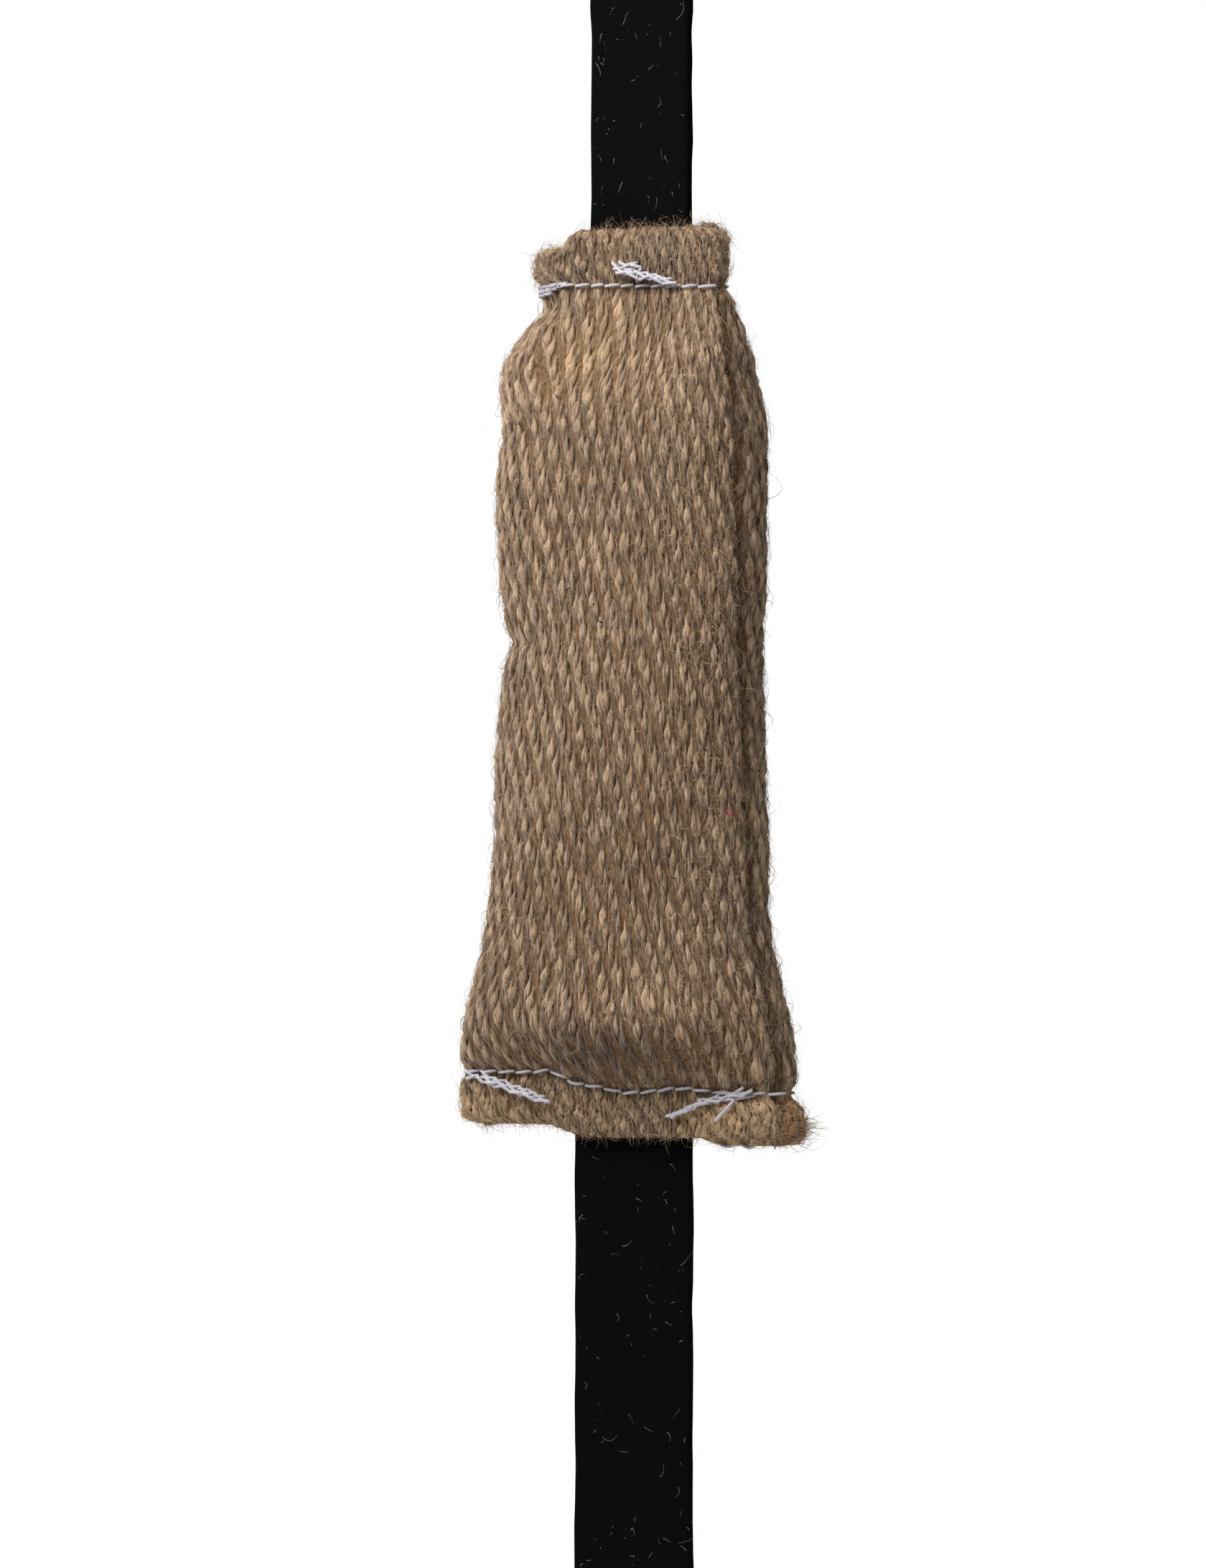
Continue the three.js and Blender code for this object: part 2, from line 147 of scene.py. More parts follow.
class JuteWeaveSizes(bpy.types.PropertyGroup):
    """The heavy twill that the pad is made of."""

    columns_left: IntProperty(
        name="Columns left", description="Yarns from the front's middle round the left to the closing seam",
        default=68, min=8, max=200,
    )
    columns_right: IntProperty(
        name="Columns right", description="Yarns from the front's middle round the right to the closing seam",
        default=84, min=8, max=200,
    )
    repeat: length("Repeat", "Height of one over-and-under of a yarn", 12.4)
    hem_repeat: length("Hem repeat", "The same, in the hems", 6.4)
    ply_radius: length("Ply radius", "Radius of each of a yarn's two plies", 0.335)
    ply_offset: length("Ply offset", "From a yarn's middle to the middle of a ply", 0.25)
    wave: length("Wave", "How far a yarn rises and dives", 0.38)
    lean: length("Lean", "How far a float leans to its side", 0.16)
    step: length("Step", "Distance between the rings of a ply", 0.85)


class JuteThreadSizes(bpy.types.PropertyGroup):
    """The sewing thread."""

    diameter: length("Diameter", "Of the white thread", 0.9)
    stitch: length("Stitch", "Length of one stitch", 3.8)
    end_gap: length("End gap", "From the end of a hem to the end of its thread", 1.0)
    loop_inset: length("Loop inset", "From the strap's edge to the loop stitching", 3.5)


class JutePadColours(bpy.types.PropertyGroup):
    """Colours, as light that the cloth and threads give back."""

    # jute_light also serves as painted highlight on the floats' tops, and jute_dark as painted shade in the gaps and
    # dives; both also give the fibres' own pale and dark streaks.
    jute_light: colour("Jute, light", "Brightest fibres", (0.58, 0.395, 0.24))
    jute_mid: colour("Jute, middle", "Most of the yarn", (0.262, 0.155, 0.078))
    jute_dark: colour("Jute, dark", "Fibres in the gaps", (0.090, 0.046, 0.022))
    jute_grey: colour("Jute, grey", "Weathered fibres", (0.30, 0.245, 0.19))
    jute_gold: colour("Jute, gold", "The warmer patch under the top hem", (0.60, 0.385, 0.185))
    fibre_pale: colour("Fibre, pale", "Loose fibres", (0.86, 0.64, 0.40))
    jute_rust: colour("Jute, rust", "The stained end of the bottom hem", (0.30, 0.135, 0.035))
    strap_black: colour("Strap", "The dyed strap", (0.0023, 0.0023, 0.0026))
    thread_white: colour("Thread", "The sewing thread", (0.70, 0.67, 0.72))
    thread_black: colour("Black thread", "The loops' sewing thread", (0.014, 0.014, 0.016))
    wadding: colour("Wadding", "The filling", (0.74, 0.68, 0.58))
    floor: colour("Floor", "The floor", (0.80, 0.80, 0.80))


class JutePadSettings(bpy.types.PropertyGroup):
    """Everything above, in one place."""

    pad: PointerProperty(type=JutePadSizes)
    strap: PointerProperty(type=JuteStrapSizes)
    weave: PointerProperty(type=JuteWeaveSizes)
    thread: PointerProperty(type=JuteThreadSizes)
    colours: PointerProperty(type=JutePadColours)


# ---- Number helpers ----


def smooth(t):
    t = np.clip(t, 0, 1)
    return t * t * (3 - 2 * t)


def rounded(t):
    return np.sqrt(1 - (1 - np.clip(t, 0, 1)) ** 2)


def mix(a, b, t):
    return a + (b - a) * t


def hump(at, height, middle, reach, power=2):
    """`height` at the middle, fading to both sides."""
    return height * np.exp(-((np.abs(at - middle) / reach) ** power))


def times(shade, factor):
    return tuple(part * factor for part in shade)


def unit(v):
    return v / np.maximum(np.linalg.norm(v, axis=-1, keepdims=True), 1e-12)


def wander(rng, count, at, spacing, size):
    """Slow random curves, one row for each piece: smooth values at the places `at`."""
    knots = int((at.max() - at.min()) / spacing) + 4
    values = rng.normal(0, size, (count, knots))
    place_of = (at - at.min()) / spacing
    low = place_of.astype(int)
    share = smooth(place_of - low)
    return values[:, low] * (1 - share) + values[:, low + 1] * share


# ---- The pad's form, in millimetres ----


class PadForm:
    """The pad's outside. `down` runs from its top edge, `s` across from the strap's middle, `t` to the back."""

    TOP_SHOULDER_POWER, BOTTOM_SHOULDER_POWER = 1.25, 1.2
    BODY_POWER, HEM_POWER = 2.7, 5.0
    LIFT_START, LIFT_RUN = 9.5, 8.0
    EAR_DROP, EAR_DROP_RUN = 3.3, 2.6
    DENT_REACH = 9.0
    BACK_RISE, BACK_DROP = 0.3, 1.7
    TURNED_IN = 9.0
    LEFT_STEP, RIGHT_STEP = 0.6, 1.6
    TOP_SEAM_SLOPE = 0.034
    PINCH, PINCH_REACH = 1.1, 1.5
    # Swellings and hollows down each side: height, middle, reach and how steeply they fall.
    LEFT_SWELL, LEFT_NOTCH = (1.7, 55, 19), (-2.1, 14.8, 3.6)
    DENT_PULL, DENT_PULL_REACH = -1.0, 2.5
    RIGHT_HOLLOW, RIGHT_SHOULDER = (0.8, 105, 60, 4), (-1.3, 24, 6)
    RIGHT_TOP_HOLLOW, RIGHT_BOTTOM_SWELL = 0.9, 1.6
    # The belly over the bottom seam: height, across, reach across, above the seam and reach down.
    BELLY, BELLY_AT, BELLY_ACROSS, BELLY_ABOVE, BELLY_DOWN = 3.4, 2, 17.0, 12, 7.0
    LUMP, WAVE, PUCKER, PUCKER_SPACING = 0.28, 0.22, 0.22, 7.4
    CREASE_AT, CREASE_DEPTH, CREASE_REACH = 33.4, 2.2, 1.6
    # How far the bottom stitches run above the seam's own level: [across, above].
    BOTTOM_SEAM_RISE = (
        (-40, 1.2), (-19, 1.2), (-13.6, 2.2), (-10.3, 2.4), (-6.6, 2.0), (-2.2, 1.1), (-0.5, 0.4),
        (6.6, 1.1), (12.5, 1.9), (17.3, 1.0), (25, 0.7), (32, 0.7), (35, 0.4),
    )

    def __init__(self, settings):
        pad, strap = settings.pad, settings.strap
        for name in pad.bl_rna.properties.keys():
            if name not in ("rna_type", "name", "ear_bend"):
                setattr(self, name, getattr(pad, name) / MM)
        self.ear_bend = pad.ear_bend
        self.twist, self.twist_axis = strap.twist, strap.twist_axis / MM
        self.above_pad = strap.above_pad / MM
        self.strap_half = strap.width / MM / 2 + 0.3
        self.strap_room = strap.thickness / MM / 2 + 0.3
        self.top_seam = self.top_hem_depth
        self.bottom_seam = self.length - self.bottom_hem_depth
        self.left_columns = settings.weave.columns_left
        self.right_columns = settings.weave.columns_right

    def top_rise(self, down):
        return smooth((down - self.top_seam) / self.top_shoulder) ** self.TOP_SHOULDER_POWER

    def bottom_rise(self, down):
        share = np.clip((self.bottom_seam - down) / self.bottom_shoulder, 0, 1)
        return np.sin(np.pi / 2 * share) ** self.BOTTOM_SHOULDER_POWER

    def flare(self, down):
        return smooth((down - self.bottom_seam + self.bottom_flare) / self.bottom_flare)

    def section(self, down):
        """How far a level reaches left and right, its half thickness, its bend and its power."""
        rise = self.top_rise(down) * self.bottom_rise(down)
        side = mix(self.body_width / 2, self.bottom_hem_width / 2, self.flare(down))
        dent = self.dent_depth * np.exp(-np.abs(down - self.dent_below_top) / self.DENT_REACH)
        edge = np.minimum(down, self.length - down)
        corner = self.hem_corner * (1 - rounded(edge / self.hem_corner))
        top = self.top_rise(down)
        left = mix(self.top_hem_width - self.top_hem_right, side - self.shift, top) - dent - corner
        right = mix(self.top_hem_right, side + self.shift, top) - corner
        half = mix(self.hem_thickness / 2, self.body_thickness / 2, rise)
        return left, right, half, self.ear_bend * (1 - top), mix(self.HEM_POWER, self.BODY_POWER, rise)

    def top_seam_at(self, s):
        return self.top_seam + 0.1 + self.TOP_SEAM_SLOPE * s

    def bottom_seam_at(self, s):
        across, above = np.array(self.BOTTOM_SEAM_RISE).T
        return self.bottom_seam - np.interp(s, across, above)

    def relief(self, s, t, down):
        """How far the cloth stands out from the plain form."""
        pinch = hump(down, self.PINCH, self.top_seam_at(s), self.PINCH_REACH)
        pinch = pinch + hump(down, self.PINCH, self.bottom_seam_at(s), self.PINCH_REACH)
        body = smooth((down - self.top_seam) / 12) * smooth((self.bottom_seam - down) / 12)
        lumps = self.LUMP * np.sin(down / 6.1 + s / 9.0) * np.sin(s / 5.3 - down / 17.0 + 1.1)
        lumps = lumps + self.WAVE * np.sin(down / 11.3 + 2.0 + t / 7.0)
        puckers = self.PUCKER * np.sin(s * 2 * np.pi / self.PUCKER_SPACING + 0.7) * (1 - body)
        belly = hump(s, self.BELLY, self.BELLY_AT, self.BELLY_ACROSS)
        belly = belly * hump(down, 1, self.bottom_seam - self.BELLY_ABOVE, self.BELLY_DOWN) * smooth((1 - t) / 6.0)
        left, right = smooth((-s - 10) / 14), smooth((s - 10) / 14)
        left = left * (
            hump(down, *self.LEFT_SWELL) + hump(down, *self.LEFT_NOTCH)
            + hump(down, self.DENT_PULL, self.dent_below_top, self.DENT_PULL_REACH, 1)
        )
        right = right * (
            hump(down, *self.RIGHT_HOLLOW) + hump(down, *self.RIGHT_SHOULDER)
            + self.RIGHT_TOP_HOLLOW * smooth((self.top_seam + 3 - down) / 4)
            - self.RIGHT_BOTTOM_SWELL * smooth((down - self.bottom_seam + 1) / 6)
        )
        return lumps * body + puckers + belly + left - right - pinch

    def bent(self, s, t, bend, half):
        along = -s - self.ear_start
        radius = 1.8 * half
        arc = np.clip(np.minimum(along / radius, bend), 0, None)
        straight = along - arc * radius
        u = -self.ear_start - radius * np.sin(arc) - straight * np.cos(arc) + t * np.sin(arc)
        w = radius * (1 - np.cos(arc)) + straight * np.sin(arc) + t * np.cos(arc)
        turned = along > 0
        return np.where(turned, u, s), np.where(turned, w, t)

    def lift(self, s, down):
        up = self.bottom_lift * smooth((-s - self.LIFT_START) / self.LIFT_RUN) * self.flare(down)
        drop = smooth((-s - self.ear_start) / self.EAR_DROP_RUN) * smooth((self.top_seam - down) / self.top_seam)
        step = mix(self.LEFT_STEP, self.RIGHT_STEP, smooth((s + 16) / 5)) * smooth((down - self.bottom_seam) / 8)
        return up + step - self.EAR_DROP * drop

    def placed(self, u, w, down, lift=0.0):
        """A point of the part's frame, in millimetres."""
        turn = self.twist * (1 - smooth((down - self.top_seam) / (self.bottom_seam - self.top_seam)))
        across = u - self.twist_axis
        x = self.twist_axis * math.cos(self.twist) + across * np.cos(turn) - w * np.sin(turn)
        y = self.twist_axis * math.sin(self.twist) + across * np.sin(turn) + w * np.cos(turn)
        return np.stack([x, y, -self.above_pad - down + lift + 0 * x], axis=-1)

    def back_layer(self, s, t, down):
        """The hems' back layer stands past the front one at the right: up at the top, down at the bottom."""
        top = self.BACK_RISE * smooth((s - 4) / 10) * smooth((self.top_seam - down) / 8)
        bottom = self.BACK_DROP * smooth((s - 12) / 6) * smooth((down - self.bottom_seam) / 8)
        return (top - bottom) * smooth(t / 2)

    def point(self, s, t, down, level):
        u, w = self.bent(s, t, level[3], level[2])
        return self.placed(u, w, down, self.lift(s, down) + self.back_layer(s, t, down))

    def depth(self, s, level):
        left, right, half, _, power = level
        share = np.clip(np.abs(2 * (s - (right - left) / 2) / (right + left)), 0, 1)
        return half * (1 - share**power) ** (1 / power)

    def face(self, s, down, side, out=0.0):
        """A point on the front or back face, `out` from the cloth."""
        s, down = np.asarray(s, float) + 0 * np.asarray(down), np.asarray(down, float) + 0 * np.asarray(s)
        level = self.section(down)
        t = side * (self.depth(s, level) + out)
        t = t + side * self.relief(s, t, down)
        return self.point(s, t, down, level)

    def outline(self, down, columns):
        """Where the columns of the weave stand on one level's outline: their s and t."""
        level = self.section(down)
        left, right, half, _, power = level
        turn = np.linspace(0, 4, 641)
        share = np.where(turn < 2, turn - 1, 3 - turn)
        across = np.sin(np.pi / 2 * share)
        s = (right - left) / 2 + (right + left) / 2 * across
        t = np.where(turn < 2, FRONT, BACK) * half * (1 - np.abs(across) ** power) ** (1 / power)
        arc = np.concatenate([[0], np.cumsum(np.hypot(np.diff(s), np.diff(t)))])
        middle, total = 320, arc[-1]
        front = np.interp(0.0, s[: middle + 1], arc[: middle + 1])
        back = np.interp(-self.closing_seam, -s[middle:], arc[middle:])
        right_run, left_run = back - front, total - back + front
        at = np.where(
            columns >= 0, columns / self.right_columns * right_run, columns / self.left_columns * left_run,
        )
        at = (front + at) % total
        return np.interp(at, arc, s), np.interp(at, arc, t), level

    def skin(self, row, columns, inset=0.0):
        """Points of the cloth for one row of the path that it takes over both hems, at those columns."""
        down, fold = row
        s, t, level = self.outline(down, columns)
        relief = self.relief(s, t, down) - self.CREASE_DEPTH * self.crease(columns, down)
        half = level[2]
        grown = 1 + (relief - inset) / np.maximum(half, 1)
        middle = (level[1] - level[0]) / 2
        s = middle + (s - middle) * (1 + (relief - inset) / ((level[0] + level[1]) / 2))
        t = t * grown
        if fold > 0:  # over the hem's edge and down between its layers
            room = np.where(np.abs(s) < self.strap_half + 1, self.strap_room + 0.2, 0.35) + inset
            radius = np.maximum(np.abs(t) - room, 0) / 2
            t = np.sign(t) * (np.abs(t) - radius * (1 - math.cos(fold)))
            end = 1 - np.clip(np.abs(t) / half, 0, 1) ** 2
            reach = smooth((np.abs(s - middle) / ((level[0] + level[1]) / 2) - 0.9) / 0.1)
            s = s - np.sign(s - middle) * half * 0.45 * end * reach * (1 - math.cos(fold))
        return self.point(s, t, down, level)

    def crease(self, columns, down):
        body = smooth((down - self.top_seam + 2) / 8)
        return hump(columns, body, self.CREASE_AT, self.CREASE_REACH)

    def path(self, step):
        """The rows of that path, as [down, fold angle], and the length run to each."""
        radius, inside = self.fold_radius, self.TURNED_IN
        turns = max(4, int(math.pi * radius / step))
        top = [(down, math.pi) for down in np.arange(inside, radius, -step)]
        top += [
            (radius - radius * math.sin(math.pi * (1 - i / turns)), math.pi * (1 - i / turns))
            for i in range(turns)
        ]
        outside = [(down, 0.0) for down in np.arange(radius, self.length - radius, step)]
        bottom = [(self.length - down, fold) for down, fold in reversed(top)]
        rows = top + outside + bottom
        run = np.zeros(len(rows))
        start = len(top)
        for i in range(start - 1, -1, -1):
            run[i] = run[i + 1] - step
        for i in range(start + 1, len(rows)):
            run[i] = run[i - 1] + step
        return rows, run + radius


# ---- Mesh helpers ----


def build_piece(name, points_mm, faces, finish, replaced=(), marks=None, rises=None, bake_map=None):
    """One mesh object from points in millimetres and arrays of faces, riding on the root body."""
    mesh = bpy.data.meshes.new(name)
    points = np.asarray(points_mm, np.float64).reshape(-1, 3) * MM
    faces = [np.asarray(f, np.int32) for f in faces if len(f)]
    loops = np.concatenate([f.ravel() for f in faces])
    sizes = np.concatenate([np.full(len(f), f.shape[1]) for f in faces])
    mesh.vertices.add(len(points))
    mesh.vertices.foreach_set("co", points.astype(np.float32).ravel())
    mesh.loops.add(len(loops))
    mesh.loops.foreach_set("vertex_index", loops)
    mesh.polygons.add(len(sizes))
    starts = np.concatenate([[0], np.cumsum(sizes)[:-1]])
    mesh.polygons.foreach_set("loop_start", starts.astype(np.int32))
    mesh.update(calc_edges=True)
    if marks is not None:
        attribute = mesh.attributes.new("strand", "FLOAT_VECTOR", "POINT")
        attribute.data.foreach_set("vector", np.asarray(marks, np.float32).ravel())
    # Each point's rise, which the yarn finish turns into painted highlight on the floats and painted shade in the dives
    # and the crease.
    if rises is not None:
        attribute = mesh.attributes.new("rise", "FLOAT", "POINT")
        attribute.data.foreach_set("value", np.asarray(rises, np.float32).ravel())
    if bake_map is not None:
        layer = mesh.uv_layers.new(name="OFBake")
        layer.data.foreach_set("uv", np.asarray(bake_map, np.float32).ravel())
    if mesh.validate():
        raise RuntimeError(f"{name} had faces that aren't valid")
    mesh.shade_smooth()
    piece = bpy.data.objects.new(name, mesh)
    bpy.context.scene.collection.objects.link(piece)
    mesh.materials.append(finish)
    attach(piece, "root")
    if replaced:
        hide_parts(*replaced)
    return piece


def tube_faces(tubes, rings, sides, offset=0):
    """Side faces of tubes that lie one after another, and their end faces."""
    ring, side = np.meshgrid(np.arange(rings - 1), np.arange(sides), indexing="ij")
    ahead = (side + 1) % sides
    quad = np.stack(
        [ring * sides + side, ring * sides + ahead, (ring + 1) * sides + ahead, (ring + 1) * sides + side], -1,
    ).reshape(-1, 4)
    start = offset + np.arange(tubes)[:, None, None] * rings * sides
    quads = (quad[None] + start).reshape(-1, 4)
    first = np.arange(sides)[::-1]
    last = (rings - 1) * sides + np.arange(sides)
    caps = np.concatenate([(first[None] + start[:, 0]), (last[None] + start[:, 0])])
    return quads, caps


def tubes(lines, across, out, radius, sides, flat=1.0):
    """Points of tubes round the lines [tube, ring, 3]. Each ring starts on its inner side."""
    angle = 2 * np.pi * np.arange(sides) / sides - np.pi / 2
    radius = np.broadcast_to(np.asarray(radius, float), lines.shape[:2])[..., None, None]
    sideways = across[:, :, None] * np.cos(angle)[None, None, :, None]
    outwards = out[:, :, None] * np.sin(angle)[None, None, :, None] * flat
    return lines[:, :, None] + radius * (sideways + outwards)


def frames(lines, towards):
    """Directions across and out for each ring of some lines, where `towards` is roughly out."""
    along = unit(np.gradient(lines, axis=1))
    across = unit(np.cross(towards, along))
    return across, np.cross(along, across)


def twisted(line, towards, diameter, pitch, plies=3, sides=6, roll=0.0):
    """Points and faces of a twisted thread along one line."""
    line = np.asarray(line)[None]
    across, out = frames(line, np.broadcast_to(towards, line.shape))
    run = np.concatenate([[0], np.cumsum(np.linalg.norm(np.diff(line[0], axis=0), axis=1))])
    offset, radius = diameter * 0.25, diameter * 0.27
    points, quads, caps = [], [], []
    for ply in range(plies):
        turn = (2 * np.pi * (run / pitch + ply / plies) + roll)[None, :, None]
        centre = line + offset * (across * np.cos(turn) + out * np.sin(turn))
        made = tubes(centre, across, out, radius, sides)
        q, c = tube_faces(1, line.shape[1], sides, offset=sum(len(p) for p in points))
        points.append(made.reshape(-1, 3))
        quads.append(q)
        caps.append(c)
    return np.concatenate(points), np.concatenate(quads), np.concatenate(caps)


def gather(parts):
    """Joins several lots of points, quads and caps into one."""
    points, quads, caps, offset = [], [], [], 0
    for p, q, c in parts:
        points.append(p)
        quads.append(q + offset)
        caps.append(c + offset)
        offset += len(p)
    return np.concatenate(points), np.concatenate(quads), np.concatenate(caps)


def curve_through(points, count):
    """A smooth line of `count` points through the given ones."""
    points = np.asarray(points, float)
    padded = np.vstack([2 * points[0] - points[1], points, 2 * points[-1] - points[-2]])
    t = np.linspace(0, len(points) - 1, count)
    i = np.minimum(t.astype(int), len(points) - 2)
    f = (t - i)[:, None]
    a, b, c, d = (padded[i + k] for k in range(4))
    return 0.5 * (2 * b + (c - a) * f + (2 * a - 5 * b + 4 * c - d) * f**2 + (3 * b - a - 3 * c + d) * f**3)


# ---- Finishes ----


class Amount:
    """A number that varies over a surface. Python's operators add Math nodes."""

    def __init__(self, finish, socket):
        self.finish, self.socket = finish, socket

    def math(self, operation, *values, clamp=False):
        return self.finish.amount(
            "ShaderNodeMath", {"operation": operation, "use_clamp": clamp}, dict(enumerate(values)), "Value",
        )

    def __add__(self, other):
        return self.math("ADD", self, other)

    def __sub__(self, other):
        return self.math("SUBTRACT", self, other)

    def __rsub__(self, other):
        return self.math("SUBTRACT", other, self)

    def __mul__(self, other):
        return self.math("MULTIPLY", self, other)

    __radd__, __rmul__ = __add__, __mul__

    def held(self):
        """The same, kept between 0 and 1."""
        return self.math("ADD", self, 0.0, clamp=True)

    def between(self, low, high):
        """0 below `low`, 1 above `high`, and smooth in between."""
        return self.finish.amount(
            "ShaderNodeMapRange", {"interpolation_type": "SMOOTHSTEP"},
            {"Value": self, "From Min": low, "From Max": high}, "Result",
        )


class Finish:
    """One node material, built from the shader outwards."""

    def __init__(self, name, **constants):
        self.material = bpy.data.materials.new(name)
        self.material.use_nodes = True
        self.tree = self.material.node_tree
        self.shader = self.tree.nodes["Principled BSDF"]
        for socket, value in constants.items():
            self.shader.inputs[socket.replace("_", " ")].default_value = value

    def node(self, kind, settings=None, sockets=None):
        """Adds a node of that type: its settings first, then the values or links of its sockets."""
        node = self.tree.nodes.new(kind)
        for name, value in (settings or {}).items():
            setattr(node, name, value)
        for key, value in (sockets or {}).items():
            value = getattr(value, "socket", value)
            if isinstance(value, bpy.types.NodeSocket):
                self.tree.links.new(value, node.inputs[key])
            else:
                node.inputs[key].default_value = value
        return node

    def amount(self, kind, settings, sockets, output):
        return Amount(self, self.node(kind, settings, sockets).outputs[output])

    def place(self):
        return self.node("ShaderNodeTexCoord").outputs["Object"]

    def marks(self):
        return self.node("ShaderNodeAttribute", {"attribute_name": "strand"}).outputs["Vector"]

    def scaled(self, vector, by):
        return self.node("ShaderNodeVectorMath", {"operation": "MULTIPLY"}, {0: vector, 1: by}).outputs["Vector"]

    def part(self, vector, axis):
        return Amount(self, self.node("ShaderNodeSeparateXYZ", None, {0: vector}).outputs[axis])

    def noise(self, vector, scale, detail=2.0, roughness=0.5):
        return self.amount(
            "ShaderNodeTexNoise", None,
            {"Vector": vector, "Scale": scale, "Detail": detail, "Roughness": roughness}, "Fac",
        )

    def near(self, vector, point, reach):
        """1 at a point and 0 beyond its reach."""
        away = self.amount("ShaderNodeVectorMath", {"operation": "DISTANCE"}, {0: vector, 1: point}, "Value")
        return 1 - away.between(0.0, reach)

    def blend(self, a, b, share):
        """Colour a turned into colour b."""
        a, b = (tuple(c) + (1.0,) if hasattr(c, "__len__") and len(c) == 3 else c for c in (a, b))
        node = self.node("ShaderNodeMix", {"data_type": "RGBA"}, {0: share, 6: a, 7: b})
        return node.outputs[2]

    def feed(self, **links):
        for socket, value in links.items():
            value = getattr(value, "socket", value)
            self.tree.links.new(value, self.shader.inputs[socket.replace("_", " ")])

    def bump(self, height, distance_mm, strength):
        node = self.node(
            "ShaderNodeBump", None, {"Height": height, "Distance": distance_mm * MM, "Strength": strength},
        )
        self.tree.links.new(node.outputs["Normal"], self.shader.inputs["Normal"])


# Places on the pad that differ, each with its reach, in metres.
GOLD_PATCH, GOLD_CORNER = ((-0.0095, -0.012, -0.1225), 0.021), ((-0.018, -0.008, -0.128), 0.014)
SMUDGES = (
    ((-0.004, -0.016, -0.245), 0.003), ((0.0035, -0.0165, -0.2465), 0.0025), ((0.004, -0.0145, -0.172), 0.002),
)
SMUDGE_COLOUR = (0.10, 0.085, 0.075)
# Painted shade just above the bottom seam, under the belly: the yarns are darkened within this reach.
PAINTED_SHADE_ABOVE_SEAM = ((0.0005, -0.005, -0.2685), 0.0105)
STAINED_END = ((0.035, -0.003, -0.2815), 0.0085)
BOTTOM_HEM_LOW, BOTTOM_HEM_HIGH = -0.2785, -0.2755


def jute_finish(colours, name="jute_yarn"):
    """Jute yarn: streaky fibres that run along each ply, with tan, grey and golden stretches, painted highlight on the
    floats' tops and painted shade where the yarns dive, in the crease and just above the bottom seam.
    """
    f = Finish(name, Roughness=0.85, Specular_IOR_Level=0.25, Sheen_Weight=0.25, Sheen_Roughness=0.6)
    where, strand = f.place(), f.marks()
    streaks = f.noise(f.scaled(strand, (5.0, 0.42, 13.7)), 1.0, 3.0, 0.7)
    fine = f.noise(f.scaled(strand, (9.0, 1.3, 5.1)), 1.0, 2.0)
    plies = f.noise(f.scaled(strand, (0.0, 0.17, 37.0)), 1.0, 1.0)
    patches = f.noise(where, 42.0, 2.0)
    grey = f.noise(f.scaled(where, (1.0, 1.0, 0.6)), 95.0, 3.0)
    # The yarns' rise: painted highlight on the floats' tops, painted shade where they dive and in the crease.
    rise = f.amount("ShaderNodeAttribute", {"attribute_name": "rise"}, None, "Fac")
    # Painted shade: darkens the yarns just above the bottom seam, where the belly overhangs it.
    painted_seam_shade = f.near(f.scaled(where, (0.35, 0.35, 1.0)), *PAINTED_SHADE_ABOVE_SEAM)
    tone = streaks * 2.7 + fine + plies * 1.5 + patches * 0.5 + rise * 0.20 - 2.34 - painted_seam_shade * 0.5
    dark_mid = f.blend(colours.jute_dark, colours.jute_mid, tone.between(0.0, 0.45))
    shade = f.blend(dark_mid, colours.jute_light, tone.between(0.42, 1.0))
    shade = f.blend(shade, colours.jute_grey, (grey.between(0.5, 0.75) * 0.2))
    gold = f.near(where, *GOLD_PATCH) + f.near(where, *GOLD_CORNER) * 0.6
    shade = f.blend(shade, colours.jute_gold, (gold * 0.36).held())
    smudge = f.near(where, *SMUDGES[0]) + f.near(where, *SMUDGES[1]) + f.near(where, *SMUDGES[2])
    shade = f.blend(shade, SMUDGE_COLOUR, (smudge * 0.55).held())
    low = 1 - f.part(where, "Z").between(BOTTOM_HEM_LOW, BOTTOM_HEM_HIGH)
    shade = f.blend(shade, colours.jute_gold, low * patches.between(0.3, 0.6) * 0.6)
    end = f.near(where, *STAINED_END).between(0.1, 0.5)
    shade = f.blend(shade, colours.jute_rust, end * 0.9)
    f.feed(Base_Color=shade, Roughness=streaks * 0.25 + 0.7)
    f.bump(streaks + fine * 0.6, 0.34, 1.0)
    return f.material


def cloth_finish(colours):
    """The cloth's ground, seen only between the yarns: partly its own darker fibres, partly painted shade for the gaps.
    """
    f = Finish("jute_ground", Roughness=0.95, Specular_IOR_Level=0.1)
    where = f.place()
    grain = f.noise(f.scaled(where, (1.0, 1.0, 0.25)), 1800.0, 3.0)
    patches = f.noise(where, 60.0, 2.0)
    tone = grain * 2.2 + patches * 0.5 - 0.85
    # Painted shade: the ground runs much darker than the yarns, standing in for the shade between them.
    dark, light = times(colours.jute_dark, 0.7), times(colours.jute_mid, 1.15)
    f.feed(Base_Color=f.blend(dark, light, tone.held()))
    f.bump(grain, 0.3, 0.9)
    return f.material


def fibre_finish(colours):
    """Single loose fibres: paler and a little glossy."""
    f = Finish("jute_fibre", Roughness=0.55, Specular_IOR_Level=0.4)
    tone = f.part(f.marks(), "Z")
    shade = f.blend(colours.jute_mid, colours.fibre_pale, tone.between(0.0, 0.5))
    f.feed(Base_Color=f.blend(shade, colours.jute_grey, f.noise(f.place(), 160.0).between(0.5, 0.7) * 0.1))
    return f.material


